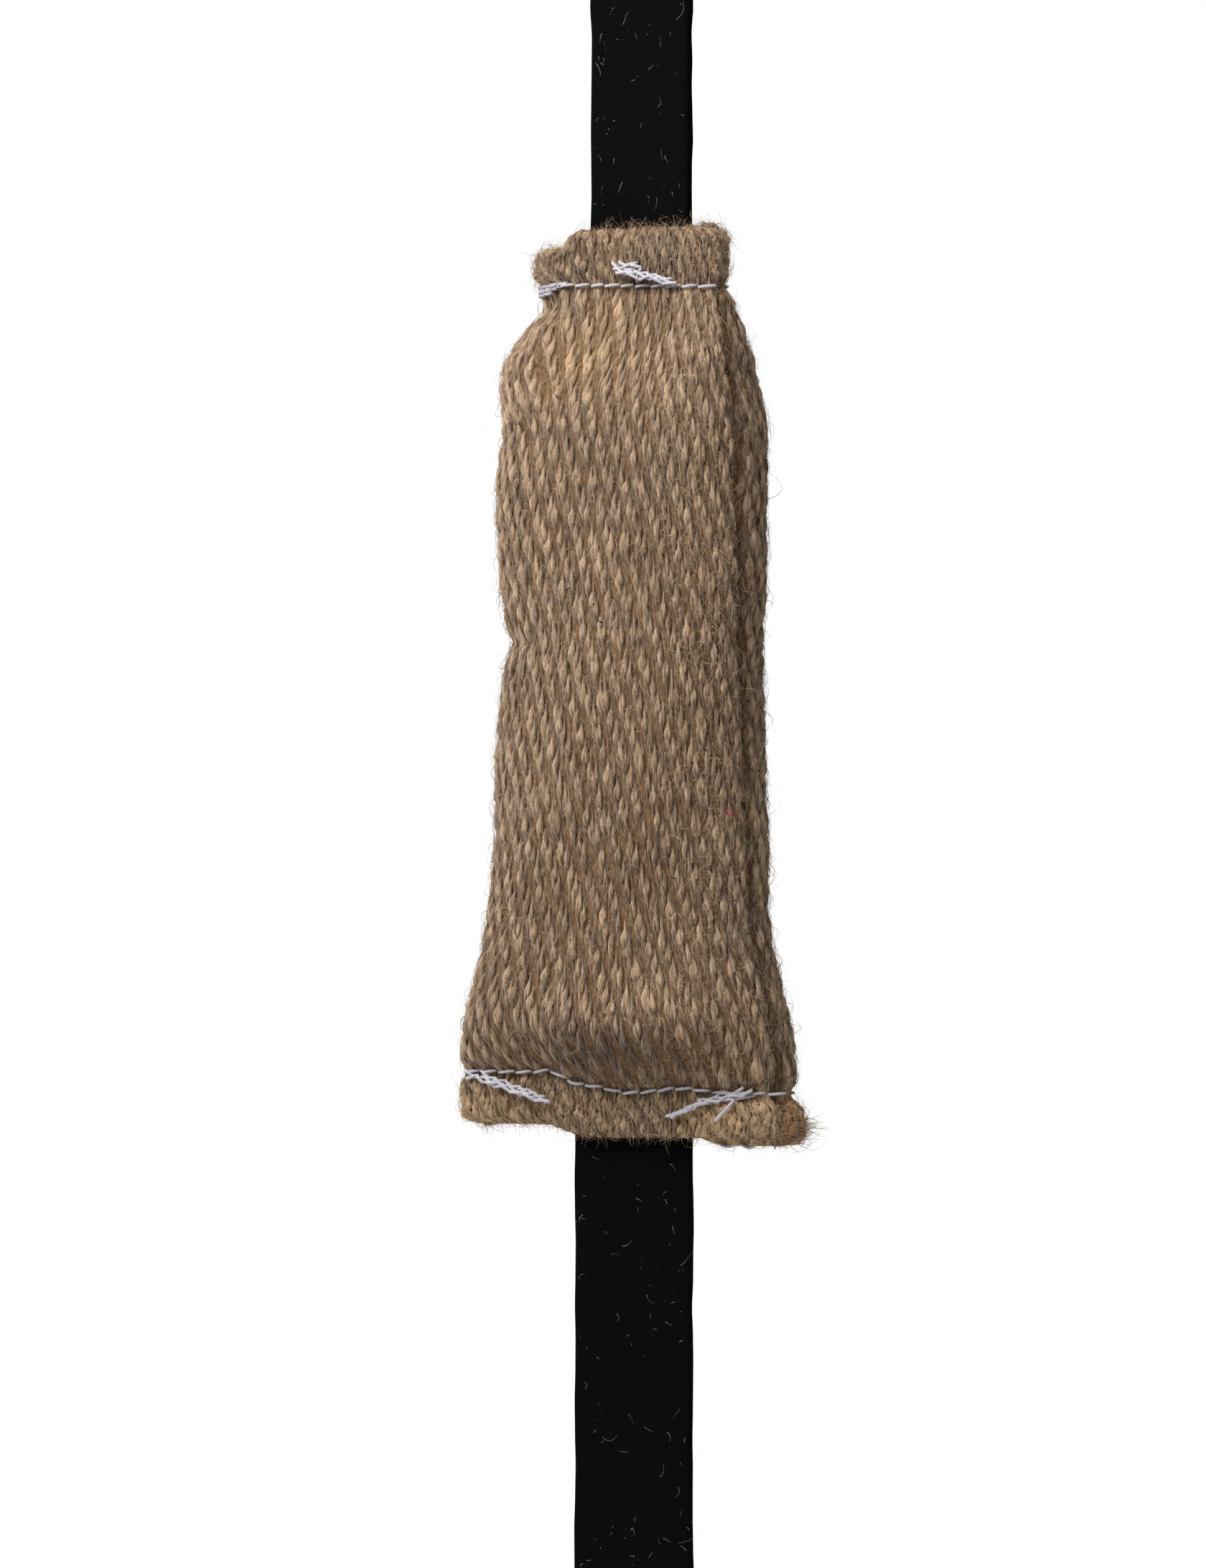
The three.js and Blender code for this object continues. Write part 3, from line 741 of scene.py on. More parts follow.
def strap_finish(colours):
    """A close, matt black band with a faint grain."""
    f = Finish("strap_black", Roughness=1.0, Specular_IOR_Level=0.03)
    where = f.place()
    grain = f.noise(where, 2600.0, 3.0)
    cloud = f.noise(where, 70.0, 2.0)
    tone = (grain * 0.7 + cloud * 0.6 - 0.15).held()
    f.feed(Base_Color=f.blend(colours.strap_black, times(colours.strap_black, 2.1), tone * 0.7))
    f.bump(grain, 0.08, 0.6)
    return f.material


def thread_finish(colours, name, shade, glossy):
    """Twisted thread: bright plies, darker in the twist's valleys."""
    f = Finish(name, Roughness=glossy, Specular_IOR_Level=0.5, Sheen_Weight=0.15)
    where = f.place()
    grain = f.noise(where, 3200.0, 3.0)
    worn = f.noise(where, 210.0, 2.0)
    f.feed(
        Base_Color=f.blend(times(shade, 0.62), shade, (grain * 0.7 + worn * 0.9 - 0.3).held()),
        Roughness=grain * 0.3 + glossy - 0.15,
    )
    f.bump(grain, 0.05, 0.5)
    return f.material


def wadding_finish(colours):
    """Soft, cloudy filling."""
    f = Finish("wadding_fluff", Roughness=1.0, Specular_IOR_Level=0.1, Sheen_Weight=0.3)
    where = f.place()
    fluff = f.noise(where, 700.0, 5.0, 0.7)
    f.feed(Base_Color=f.blend(times(colours.wadding, 0.7), colours.wadding, fluff.between(0.3, 0.7)))
    f.bump(fluff, 0.6, 0.8)
    return f.material


# ---- Operators ----


class JUTE_OT_stage(bpy.types.Operator):
    """Make the camera, the soft lights, the pale floor and the white surroundings"""

    bl_idname = "jute_pad.stage"
    bl_label = "Stage"

    DISTANCE, VIEW_HEIGHT = 2.1, 0.317
    AZIMUTH = math.radians(20)
    AIM = Vector((-0.0073, -0.0027, -0.2142))
    FLOOR_GAP, FLOOR_REACH = 0.03, 0.5
    # Name, azimuth and elevation in degrees, distance and size in metres, power in watts.
    LAMPS = (("key", -27, 50, 0.9, 0.7, 12.3), ("fill", 62, 12, 1.1, 0.8, 0.3), ("rim", 200, 35, 1.0, 0.7, 2.5))
    SKY, SKY_STRENGTH = (0.97, 0.98, 1.0, 1.0), 0.21
    WHITE = (1.0, 1.0, 1.0, 1.0)

    def execute(self, context):
        scene = context.scene
        back = Vector((math.sin(self.AZIMUTH), -math.cos(self.AZIMUTH), 0))
        camera = bpy.data.cameras.new("camera")
        camera.lens = camera.sensor_width * self.DISTANCE / self.VIEW_HEIGHT
        holder = bpy.data.objects.new("camera", camera)
        holder.location = self.AIM + back * self.DISTANCE
        holder.rotation_euler = (-back).to_track_quat("-Z", "Y").to_euler()
        scene.collection.objects.link(holder)
        scene.camera = holder
        scene.view_settings.view_transform = "Standard"
        for lamp in self.LAMPS:
            self.lamp(scene, *lamp)
        self.surroundings(scene)
        self.floor(scene, context.scene.jute_pad.colours.floor)
        return {"FINISHED"}

    def lamp(self, scene, name, azimuth, elevation, distance, size, power):
        lamp = bpy.data.lights.new(name, "AREA")
        lamp.size, lamp.energy = size, power
        a, e = math.radians(azimuth), math.radians(elevation)
        away = Vector((math.sin(a) * math.cos(e), -math.cos(a) * math.cos(e), math.sin(e)))
        holder = bpy.data.objects.new(name, lamp)
        holder.location = self.AIM + away * distance
        holder.rotation_euler = (-away).to_track_quat("-Z", "Y").to_euler()
        scene.collection.objects.link(holder)

    def surroundings(self, scene):
        """White to look at, and a soft, even light."""
        world = bpy.data.worlds.new("surroundings")
        world.use_nodes = True
        nodes, links = world.node_tree.nodes, world.node_tree.links
        light = nodes["Background"]
        white = nodes.new("ShaderNodeBackground")
        light.inputs["Color"].default_value = self.SKY
        light.inputs["Strength"].default_value = self.SKY_STRENGTH
        white.inputs["Color"].default_value = self.WHITE
        white.inputs["Strength"].default_value = 1.0
        chooser, ray = nodes.new("ShaderNodeMixShader"), nodes.new("ShaderNodeLightPath")
        links.new(ray.outputs["Is Camera Ray"], chooser.inputs[0])
        links.new(light.outputs[0], chooser.inputs[1])
        links.new(white.outputs[0], chooser.inputs[2])
        links.new(chooser.outputs[0], nodes["World Output"].inputs["Surface"])
        scene.world = world

    def floor(self, scene, shade):
        """A round floor under the strap that fades to white towards its rim."""
        level = cad_box[0].z - self.FLOOR_GAP
        rings, sides = 8, 64
        angle = 2 * np.pi * np.arange(sides) / sides
        reach = self.FLOOR_REACH * np.linspace(0.02, 1, rings)[:, None]
        points = np.stack([reach * np.cos(angle), reach * np.sin(angle), np.full((rings, sides), level)], -1)
        quads, caps = tube_faces(1, rings, sides)
        mesh = bpy.data.meshes.new("floor")
        mesh.from_pydata(points.reshape(-1, 3).tolist(), [], quads.tolist() + caps[:1].tolist())
        f = Finish("floor", Roughness=0.8, Specular_IOR_Level=0.2)
        around = f.amount("ShaderNodeVectorMath", {"operation": "LENGTH"}, {0: f.place()}, "Value")
        glow = around.between(self.FLOOR_REACH * 1.15, self.FLOOR_REACH * 1.36)
        grain = f.noise(f.place(), 40.0)
        f.feed(Base_Color=f.blend(times(shade, 0.97), shade, grain))
        lit = f.node("ShaderNodeEmission", None, {"Color": self.WHITE, "Strength": 1.0})
        both = f.node("ShaderNodeMixShader", None, {0: glow, 1: f.shader.outputs[0], 2: lit.outputs[0]})
        f.tree.links.new(both.outputs[0], f.tree.nodes["Material Output"].inputs["Surface"])
        mesh.materials.append(f.material)
        floor = bpy.data.objects.new("floor", mesh)
        scene.collection.objects.link(floor)


class JUTE_OT_strap(bpy.types.Operator):
    """Make the flat black strap with a sewn loop at each end"""

    bl_idname = "jute_pad.strap"
    bl_label = "Strap"

    # Places across the band, as shares of its width, and how thick it is there.
    ACROSS = np.array([-0.5, -0.488, -0.46, -0.3, -0.1, 0.1, 0.3, 0.46, 0.488, 0.5])
    THICK = np.array([0.45, 0.86, 1, 1, 1, 1, 1, 1, 0.86, 0.45])

    def execute(self, context):
        settings = context.scene.jute_pad
        form = PadForm(settings)
        line = self.middle_line(settings.strap)
        points, faces, caps = self.band(form, settings.strap, line)
        piece = build_piece(
            "strap_band", points, [faces, caps], strap_finish(settings.colours), ["strap"],
        )
        return {"FINISHED"}

    def middle_line(self, strap):
        """[depth, height] along the strap's middle, from the lower tail to the upper one, close together."""
        thickness, overlap = strap.thickness / MM, strap.overlap / MM
        eye, depth = strap.eye_length / MM, strap.eye_depth / MM
        tail = thickness + 0.3
        radius = (depth + thickness) / 2
        rise = eye - depth / 2
        t = np.linspace(0, 1, 17)[:-1]
        apart, height = mix(tail / 2, radius, smooth(t)), rise * t
        angle = np.pi * (1 - np.linspace(0, 1, 33))
        eye_line = np.concatenate([
            np.stack([tail / 2 - apart, height], -1),
            np.stack([tail / 2 + radius * np.cos(angle), rise + radius * np.sin(angle)], -1),
            np.stack([tail / 2 + apart, height], -1)[::-1],
        ])
        pad_length = bpy.context.scene.jute_pad.pad.length / MM
        bottom = -(strap.above_pad / MM + pad_length + strap.below_pad / MM)
        upper = eye_line + (0, -eye)
        lower = (eye_line * (1, -1) + (0, bottom + eye))[::-1]
        run = np.linspace(bottom + eye, -eye, 180)[1:-1]
        fold = np.linspace(0, 1, 10)
        tail_low = np.stack([np.full(10, tail), bottom + eye + overlap * (1 - fold)], -1)[:-1]
        tail_high = np.stack([np.full(10, tail), -eye - overlap * fold], -1)[1:]
        return np.concatenate([tail_low, lower, np.stack([0 * run, run], -1), upper, tail_high])

    def band(self, form, strap, line):
        """A band whose cut edges waver a little and whose faces are soft at the rim."""
        rng = np.random.default_rng(SEED)
        width, thickness = strap.width / MM, strap.thickness / MM
        ahead = unit(np.gradient(line, axis=0))
        half = thickness / 2 * self.THICK
        count = len(line)
        at = np.arange(count) * 1.9
        left, right = wander(rng, 1, at, 6.0, 0.13)[0], wander(rng, 1, at, 5.0, 0.13)[0]
        rings = []
        for side in (FRONT, BACK):
            order = slice(None) if side == FRONT else slice(None, None, -1)
            across = self.ACROSS[order][None]
            u = across * width + np.where(across < 0, left[:, None], right[:, None])
            out = side * half[order][None]
            y = line[:, 0:1] + out * ahead[:, 1:2]
            z = line[:, 1:2] - out * ahead[:, 0:1]
            rings.append(form.placed(u, y, -z - form.above_pad + 0 * u))
        points = np.concatenate(rings, axis=1)
        faces, caps = tube_faces(1, count, points.shape[1])
        return points.reshape(-1, 3), faces, caps


class JUTE_OT_cover(bpy.types.Operator):
    """Make the jute cover's ground cloth, turned in at both hems"""

    bl_idname = "jute_pad.cover"
    bl_label = "Cover"

    ROW_STEP, UNDER_YARNS, INSIDE_GAP = 2.0, 0.80, 0.1

    def execute(self, context):
        settings = context.scene.jute_pad
        form = PadForm(settings)
        count = (form.left_columns + form.right_columns) // 2
        columns = np.linspace(-form.left_columns, form.right_columns, count, endpoint=False) + 1
        rows, _ = form.path(self.ROW_STEP)
        outer = [form.skin(row, columns, self.UNDER_YARNS) for row in rows]
        inner = [form.skin(row, columns, form.cloth - self.INSIDE_GAP) for row in rows]
        rings = np.array(outer + inner[::-1])
        total = len(rings)
        ring, side = np.meshgrid(np.arange(total), np.arange(count), indexing="ij")
        next_ring, next_side = (ring + 1) % total, (side + 1) % count
        quads = np.stack(
            [ring * count + side, next_ring * count + side, next_ring * count + next_side, ring * count + next_side],
            -1,
        ).reshape(-1, 4)
        piece = build_piece(
            "jute_cover_ground", rings, [quads], cloth_finish(settings.colours), ["jute_cover"],
        )
        return {"FINISHED"}


class WeaveLines:
    """The middle lines of all the yarns, with their directions and their ups and downs."""

    SHARPNESS, SKEW = 2.0, 0.35
    # How far to each side a yarn's direction is measured, in columns.
    BESIDE = 0.35

    def __init__(self, settings, step=None):
        form = PadForm(settings)
        weave = settings.weave
        rng = np.random.default_rng(SEED)
        self.rows, self.run = form.path(step or weave.step / MM)
        self.count = form.left_columns + form.right_columns
        columns = np.arange(-form.left_columns, form.right_columns) + 0.5
        hem = 1 - smooth((self.run - form.top_seam + 1) / 3) * smooth((form.bottom_seam - self.run - 1) / 3)
        height = mix(weave.repeat / MM, weave.hem_repeat / MM, hem)
        turns = np.concatenate([[0], np.cumsum(np.diff(self.run) / height[1:])])
        drift = wander(rng, self.count, self.run, 12.0, 0.065)
        phase = turns[None] - columns[:, None] / 4 + drift
        phase = phase - 0.04 * (np.arange(self.count)[:, None] % 2)
        self.phase = phase
        wave = 2 * np.pi * phase
        self.up = 2 * ((1 + np.sin(wave)) / 2) ** self.SHARPNESS - 1
        self.fat = 2 * ((1 + np.sin(wave + self.SKEW * np.cos(wave) - self.SKEW)) / 2) ** self.SHARPNESS - 1
        calm = 1 - 0.55 * hem
        lean = weave.lean / MM * np.cos(2 * np.pi * phase) * calm
        slack = wander(rng, self.count, self.run, 6.0, 0.13)
        moved = columns[:, None] + lean + slack
        here, left, right = (
            np.array([form.skin(row, moved[:, i] + d) for i, row in enumerate(self.rows)]).transpose(1, 0, 2)
            for d in (0.0, -self.BESIDE, self.BESIDE)
        )
        along = unit(np.gradient(here, axis=1))
        across = unit(right - left)
        self.out = unit(np.cross(along, across))
        self.across = np.cross(self.out, along)
        self.along = along
        self.pitch = np.linalg.norm(right - left, axis=-1) / (2 * self.BESIDE)
        rise = wander(rng, self.count, self.run, 9.0, 0.07)
        depth = weave.ply_radius / MM + weave.ply_offset / MM * 0.5
        height = weave.wave / MM * calm * (self.up - 1) + rise - depth + 0.12
        self.middle = here + self.out * height[..., None]
        self.columns, self.form = columns, form


class JUTE_OT_weave(bpy.types.Operator):
    """Weave the cover: two-ply jute yarns that pass over two and under two"""

    bl_idname = "jute_pad.weave"
    bl_label = "Weave"

    GROUPS = 5
    SIDES = 5

    def execute(self, context):
        settings = context.scene.jute_pad
        weave = settings.weave
        step = None
        lines = WeaveLines(settings, step)
        finish = jute_finish(settings.colours)
        rng = np.random.default_rng(SEED + 1)
        count, rings = lines.middle.shape[:2]
        plies, marks = [], []
        turn = 2 * np.pi * 1.5 * (lines.phase - 0.25) + wander(rng, count, lines.run, 9.0, 0.8)
        squeeze = np.clip(lines.pitch / 0.98, 0.74, 1.25)
        size = (1 + wander(rng, count, lines.run, 5.0, 0.15)) * squeeze
        for ply in range(2):
            angle = np.pi * ply - turn
            sideways = (weave.ply_offset / MM * size * (0.97 + 0.45 * lines.fat) * np.cos(angle))[..., None]
            outwards = (weave.ply_offset / MM * 0.75 * np.sin(angle))[..., None]
            centre = lines.middle + lines.across * sideways + lines.out * outwards
            radius = weave.ply_radius / MM * size * (1.02 + 0.46 * lines.fat)
            plies.append(tubes(centre, lines.across, lines.out, radius, self.SIDES, flat=0.95))
            girth = 2 * np.pi * weave.ply_radius / MM * np.arange(self.SIDES) / self.SIDES
            mark = np.empty((count, rings, self.SIDES, 3))
            mark[..., 0] = girth
            mark[..., 1] = lines.run[None, :, None]
            mark[..., 2] = (np.arange(count) * 2 + ply)[:, None, None] * 0.731
            marks.append(mark)
        points, marks = np.stack(plies, 1), np.stack(marks, 1)
        # Yarns sunk in the crease get a lower rise, so the yarn finish paints shade into the crease.
        sunk = lines.form.crease(lines.columns[:, None], lines.run[None])
        rises = np.broadcast_to((lines.up - 2.2 * sunk)[:, None, :, None], points.shape[:4])
        edges = np.linspace(0, count, self.GROUPS + 1).astype(int)
        for group, (a, b) in enumerate(zip(edges[:-1], edges[1:])):
            tubes_here = 2 * (b - a)
            quads, caps = tube_faces(tubes_here, rings, self.SIDES)
            build_piece(
                f"jute_weave_{group + 1}", points[a:b], [quads, caps], finish,
                marks=marks[a:b], rises=rises[a:b], bake_map=self.bake_map(tubes_here, rings),
            )
        return {"FINISHED"}

    def bake_map(self, count, rings):
        """Each ply gets a strip of its own, as wide as its sides."""
        sides = self.SIDES
        ring, side = np.meshgrid(np.arange(rings - 1), np.arange(sides), indexing="ij")
        u = np.stack([side, side + 1, side + 1, side], -1) / sides
        v = np.stack([ring, ring, ring + 1, ring + 1], -1) / (rings + 5)
        strip = np.arange(count)[:, None, None, None]
        u = (strip + 0.04 + 0.92 * u[None]) / count
        sheet = np.stack([u, np.broadcast_to(v[None], u.shape)], -1).reshape(-1, 2)
        spin = 2 * np.pi * np.arange(sides) / sides
        disc = np.stack([np.cos(spin), np.sin(spin)], -1) * 0.4
        caps = []
        for level in (rings + 1.5, rings + 3.5):
            centre = np.stack([np.arange(count) + 0.5, np.full(count, level)], -1)[:, None]
            caps.append(((centre + disc[None]) / (count, rings + 5)).reshape(-1, 2))
        return np.concatenate([sheet, *caps])


class JUTE_OT_wadding(bpy.types.Operator):
    """Make the two pads of wadding inside, one on each side of the strap"""

    bl_idname = "jute_pad.wadding"
    bl_label = "Wadding"

    INSET, TOP_GAP, BOTTOM_GAP = 2.9, 4.0, 4.0

    def execute(self, context):
        settings = context.scene.jute_pad
        form = PadForm(settings)
        finish = wadding_finish(settings.colours)
        rng = np.random.default_rng(SEED + 2)
        for name, side, node in (("wadding_front", FRONT, "filling_front"), ("wadding_back", BACK, "filling_back")):
            downs = np.linspace(form.top_seam + self.TOP_GAP, form.bottom_seam - self.BOTTOM_GAP, 60)
            share = np.sin(np.pi / 2 * np.linspace(-0.96, 0.96, 33))
            rings = []
            for down in downs:
                level = form.section(down)
                left, right, half, _, power = level
                s = (right - left) / 2 + ((right + left) / 2 - self.INSET - 1) * share
                near = form.strap_room + 0.3
                far = (half - self.INSET - 0.6) * (1 - np.abs(share) ** power) ** (1 / power)
                far = np.maximum(far + rng.normal(0, 0.15, len(s)), near + 0.25)
                outer = form.point(s, side * far, down, level)
                inner = form.point(s, side * (near + 0 * s), down, level)
                rings.append(np.concatenate([outer, inner[::-1]]))
            rings = np.array(rings)
            faces, caps = tube_faces(1, len(rings), rings.shape[1])
            if side == BACK:
                faces, caps = faces[:, ::-1], caps[:, ::-1]
            build_piece(name, rings, [faces[:, ::-1], caps[:, ::-1]], finish, [node])
        return {"FINISHED"}


class SewingOperator:
    """What the operators that sew share."""

    def stitches(self, form, places, thread, side, seed=0):
        """Separate stitches along places [across, down]: each dives into the cloth at both its ends."""
        rng = np.random.default_rng(SEED + seed)
        diameter = thread.diameter / MM
        parts = []
        for (s0, d0), (s1, d1) in zip(places[:-1], places[1:]):
            t = np.linspace(0.07, 0.93, 13)
            arch = np.sin(np.pi * t) ** 0.6
            slant = 0.16 * np.cos(np.pi * t)
            line = form.face(mix(s0, s1, t), mix(d0, d1, t) + slant, side, diameter * (arch * 1.5 - 1.25) + 0.6)
            line = line + rng.normal(0, 0.02, line.shape)
            parts.append(twisted(line, self.outwards(form, s0, d0, side), diameter * 0.74, 1.5, roll=s0))
        return parts

    def outwards(self, form, s, down, side):
        return unit(form.face(s, down, side, 1.0) - form.face(s, down, side, 0.0))

    def sew(self, name, parts, finish, slot, *nodes):
        """Makes one piece of all its threads."""
        points, quads, caps = gather(parts)
        build_piece(name, points, [quads, caps], finish, nodes)

    def overlapped(self, form, ends, thread, side, layers, rng):
        """Stitches sewn over each other along a slant, layer upon layer."""
        (s0, d0), (s1, d1) = ends
        run = math.hypot(s1 - s0, d1 - d0)
        tangent = np.array([s1 - s0, d1 - d0]) / run
        diameter = thread.diameter / MM * 0.78
        parts = []
        for layer in range(layers):
            count = max(1, round(run / 3.1))
            knots = (np.arange(count + 1) + (layer / layers if count > 1 else 0)) / (count + (layers - 1) / layers)
            swing = 0.40 * np.where((np.arange(count + 1) + layer) % 2, 1, -1) + rng.normal(0, 0.16, count + 1)
            swing = swing * (0.2 if layers == 1 else 1) + 0.30 * (layer - (layers - 1) / 2)
            for i in range(count):
                t = np.linspace(-0.06, 1.06, 11)
                arch = np.sin(np.pi * np.linspace(0.03, 0.97, 11)) ** 0.5
                at = mix(knots[i], knots[i + 1], t)
                aside = mix(swing[i], swing[i + 1], t)
                height = diameter * (arch * 1.1 - 0.9) + 0.85 + 0.32 * layer
                line = form.face(
                    mix(s0, s1, at) - tangent[1] * aside, mix(d0, d1, at) + tangent[0] * aside, side, height,
                )
                towards = self.outwards(form, s0, d0, side)
                parts.append(twisted(line, towards, diameter * rng.uniform(0.9, 1.15), 1.9, roll=i + layer))
        return parts


class JUTE_OT_seams(SewingOperator, bpy.types.Operator):
    """Sew both hems and close the back, in white thread"""

    bl_idname = "jute_pad.seams"
    bl_label = "Seams"

    def execute(self, context):
        settings = context.scene.jute_pad
        form, thread = PadForm(settings), settings.thread
        finish = thread_finish(settings.colours, "white_thread", tuple(settings.colours.thread_white), 0.5)
        rows = (
            ("top_seam_stitches", "top_seam_thread", form.top_seam, FRONT),
            ("top_seam_back_stitches", "top_seam_back_thread", form.top_seam, BACK),
            ("bottom_seam_stitches", "bottom_seam_thread", form.bottom_seam, FRONT),
            ("bottom_seam_back_stitches", "bottom_seam_back_thread", form.bottom_seam, BACK),
        )
        for number, (name, node, seam, side) in enumerate(rows):
            left, right = form.section(seam)[:2]
            gap = thread.end_gap / MM
            across = np.linspace(-left + gap, right - gap, round((left + right - 2 * gap) / (thread.stitch / MM)) + 1)
            down = form.bottom_seam_at(across) if seam == form.bottom_seam else form.top_seam_at(across)
            parts = self.stitches(form, np.stack([across, down], -1), thread, side, seed=20 + number)
            self.sew(name, parts, finish, "white_thread", node)
        down = np.arange(form.top_seam + 4, form.bottom_seam - 4, 2 * thread.stitch / MM * 0.6)
        places = np.stack([np.full(len(down), form.closing_seam), down], -1)
        parts = self.stitches(form, places, thread, BACK, seed=30)
        self.sew("closing_seam_stitches", parts, finish, "white_thread", "closing_seam_thread")
        return {"FINISHED"}


class JUTE_OT_backtacks(SewingOperator, bpy.types.Operator):
    """Lock the seams' ends with stitches sewn over each other, and leave one thread end loose"""

    bl_idname = "jute_pad.backtacks"
    bl_label = "Locked stitches"

    END_DIAMETER = 0.8
    # Threads wound round the top seam's left end: first and last column, and below the seam.
    WINDINGS = ((-13, -40, -0.8), (-16, -38, 0.1), (-18, -36, 0.8), (-15, -30, -0.3))
    # The loose end at the front, from the hem's right end and the seam: inwards and below.
    LOOSE_END = ((11.1, 0.8), (12.1, 2.6), (13.3, 4.4), (14.6, 6.2))
    # The thread end behind the bottom hem: across, to the back, and below the top edge.
    BACK_END = (
        (14.5, 2.4, 183.2), (17, 3.0, 184.6), (19.5, 2.0, 185.2),
        (21.5, 2.8, 184.7), (24, 2.2, 185.4), (26, 3.0, 184.0),
    )

    def execute(self, context):
        settings = context.scene.jute_pad
        form, thread = PadForm(settings), settings.thread
        finish = thread_finish(settings.colours, "white_thread_thick", tuple(settings.colours.thread_white), 0.45)
        top, bottom = form.section(form.top_seam), form.section(form.bottom_seam)
        seam, low = form.top_seam, form.bottom_seam
        lots = (
            ("top_lock_stitches", "top_backtack", [
                (((top[1] - 25.0, seam - 3.6), (top[1] - 9.0, seam - 0.2)), 4),
                (((top[1] - 23.0, seam - 4.2), (top[1] - 17.6, seam - 3.9)), 2),
                (((top[1] - 17.0, seam - 2.6), (top[1] - 20.0, seam - 0.1)), 2),
            ]),
            ("bottom_left_lock_stitches", "bottom_left_backtack", [
                (((1.5 - bottom[0], low - 0.9), (6.0 - bottom[0], low + 0.6)), 2),
                (((5.0 - bottom[0], low - 0.4), (20.5 - bottom[0], low + 4.9)), 4),
            ]),
            ("bottom_right_lock_stitches", "bottom_right_backtack", [
                (((bottom[1] - 25.2, low + 5.6), (bottom[1] - 16.7, low + 0.7)), 3),
                (((bottom[1] - 18.5, low + 1.4), (bottom[1] - 7.6, low - 1.4)), 3),
                (((bottom[1] - 14.5, low + 0.9), (bottom[1] - 7.5, low - 0.2)), 1),
            ]),
        )
        rng = np.random.default_rng(SEED + 5)
        for name, node, runs in lots:
            parts = []
            for ends, layers in runs:
                parts += self.overlapped(form, ends, thread, FRONT, layers, rng)
            self.sew(name, parts, finish, "white_thread", node)
        parts = []
        for number, (first, last, below) in enumerate(self.WINDINGS):
            row, columns = (seam + below, 0.0), np.linspace(first, last, 40)
            line = form.skin(row, columns, -0.45)
            towards = unit(line - form.skin(row, columns, 0.6))
            parts.append(twisted(line, towards, self.END_DIAMETER, 1.4, roll=number))
        self.sew("top_end_winding", parts, finish, "white_thread")
        line = np.array([
            form.face(bottom[1] - inwards, low + below, FRONT, 1.0 + 0.12 * i)
            for i, (inwards, below) in enumerate(self.LOOSE_END)
        ])
        towards = self.outwards(form, 0, low, FRONT)
        made = twisted(curve_through(line, 24), towards, self.END_DIAMETER, 1.3)
        self.sew("loose_thread_end", [made], finish, "white_thread", "loose_thread")
        line = np.array([form.placed(*point) for point in self.BACK_END])
        made = twisted(curve_through(line, 40), np.array([0, -1.0, 0]), self.END_DIAMETER, 1.5)
        self.sew("bottom_back_thread_end", [made], finish, "white_thread")
        return {"FINISHED"}


class JUTE_OT_loop_sewing(SewingOperator, bpy.types.Operator):
    """Sew the strap's two loops shut, in black thread"""

    bl_idname = "jute_pad.loop_sewing"
    bl_label = "Loop stitching"

    def execute(self, context):
        settings = context.scene.jute_pad
        strap, thread = settings.strap, settings.thread
        form = PadForm(settings)
        finish = thread_finish(settings.colours, "black_thread", tuple(settings.colours.thread_black), 0.7)
        bottom = -(strap.above_pad + settings.pad.length + strap.below_pad) / MM
        eye, thickness = strap.eye_length / MM, strap.thickness / MM
        for name, neck, away in (("upper_loop", -eye, -1), ("lower_loop", bottom + eye, 1)):
            for suffix, side, depth in (
                ("_stitching", FRONT, -thickness / 2), ("_back_stitching", BACK, 1.5 * thickness + 0.3),
            ):
                parts = self.box(form, strap, thread, neck, away, side, depth)
                stitches = name + suffix.replace("stitching", "stitches")
                self.sew(stitches, parts, finish, "black_thread", name + suffix)
        return {"FINISHED"}

    def box(self, form, strap, thread, neck, away, side, depth):
        half = strap.width / MM / 2 - thread.loop_inset / MM
        near, far = thread.loop_inset / MM, (strap.overlap - thread.loop_inset) / MM
        corners = [(-half, near), (-half, far), (half, far), (half, near), (-half, near)]
        diameter = thread.diameter / MM
        parts = []
        for a, b in zip(corners[:-1], corners[1:]):
            count = round(math.dist(a, b) / 2.9)
            for i in range(count):
                t = (i + np.linspace(0.04, 0.96, 9)) / count
                u, along = mix(a[0], b[0], t), mix(a[1], b[1], t)
                arch = np.sin(np.pi * np.linspace(0.04, 0.96, 9)) ** 0.6
                out = side * (diameter * (arch * 0.75 - 0.3))
                line = form.placed(u, depth + out, -(neck + away * along) - form.above_pad)
                towards = unit(form.placed(0.0, depth + side, neck) - form.placed(0.0, depth, neck))
                parts.append(twisted(line, towards, diameter * 0.7, 1.2, roll=i))
        return parts


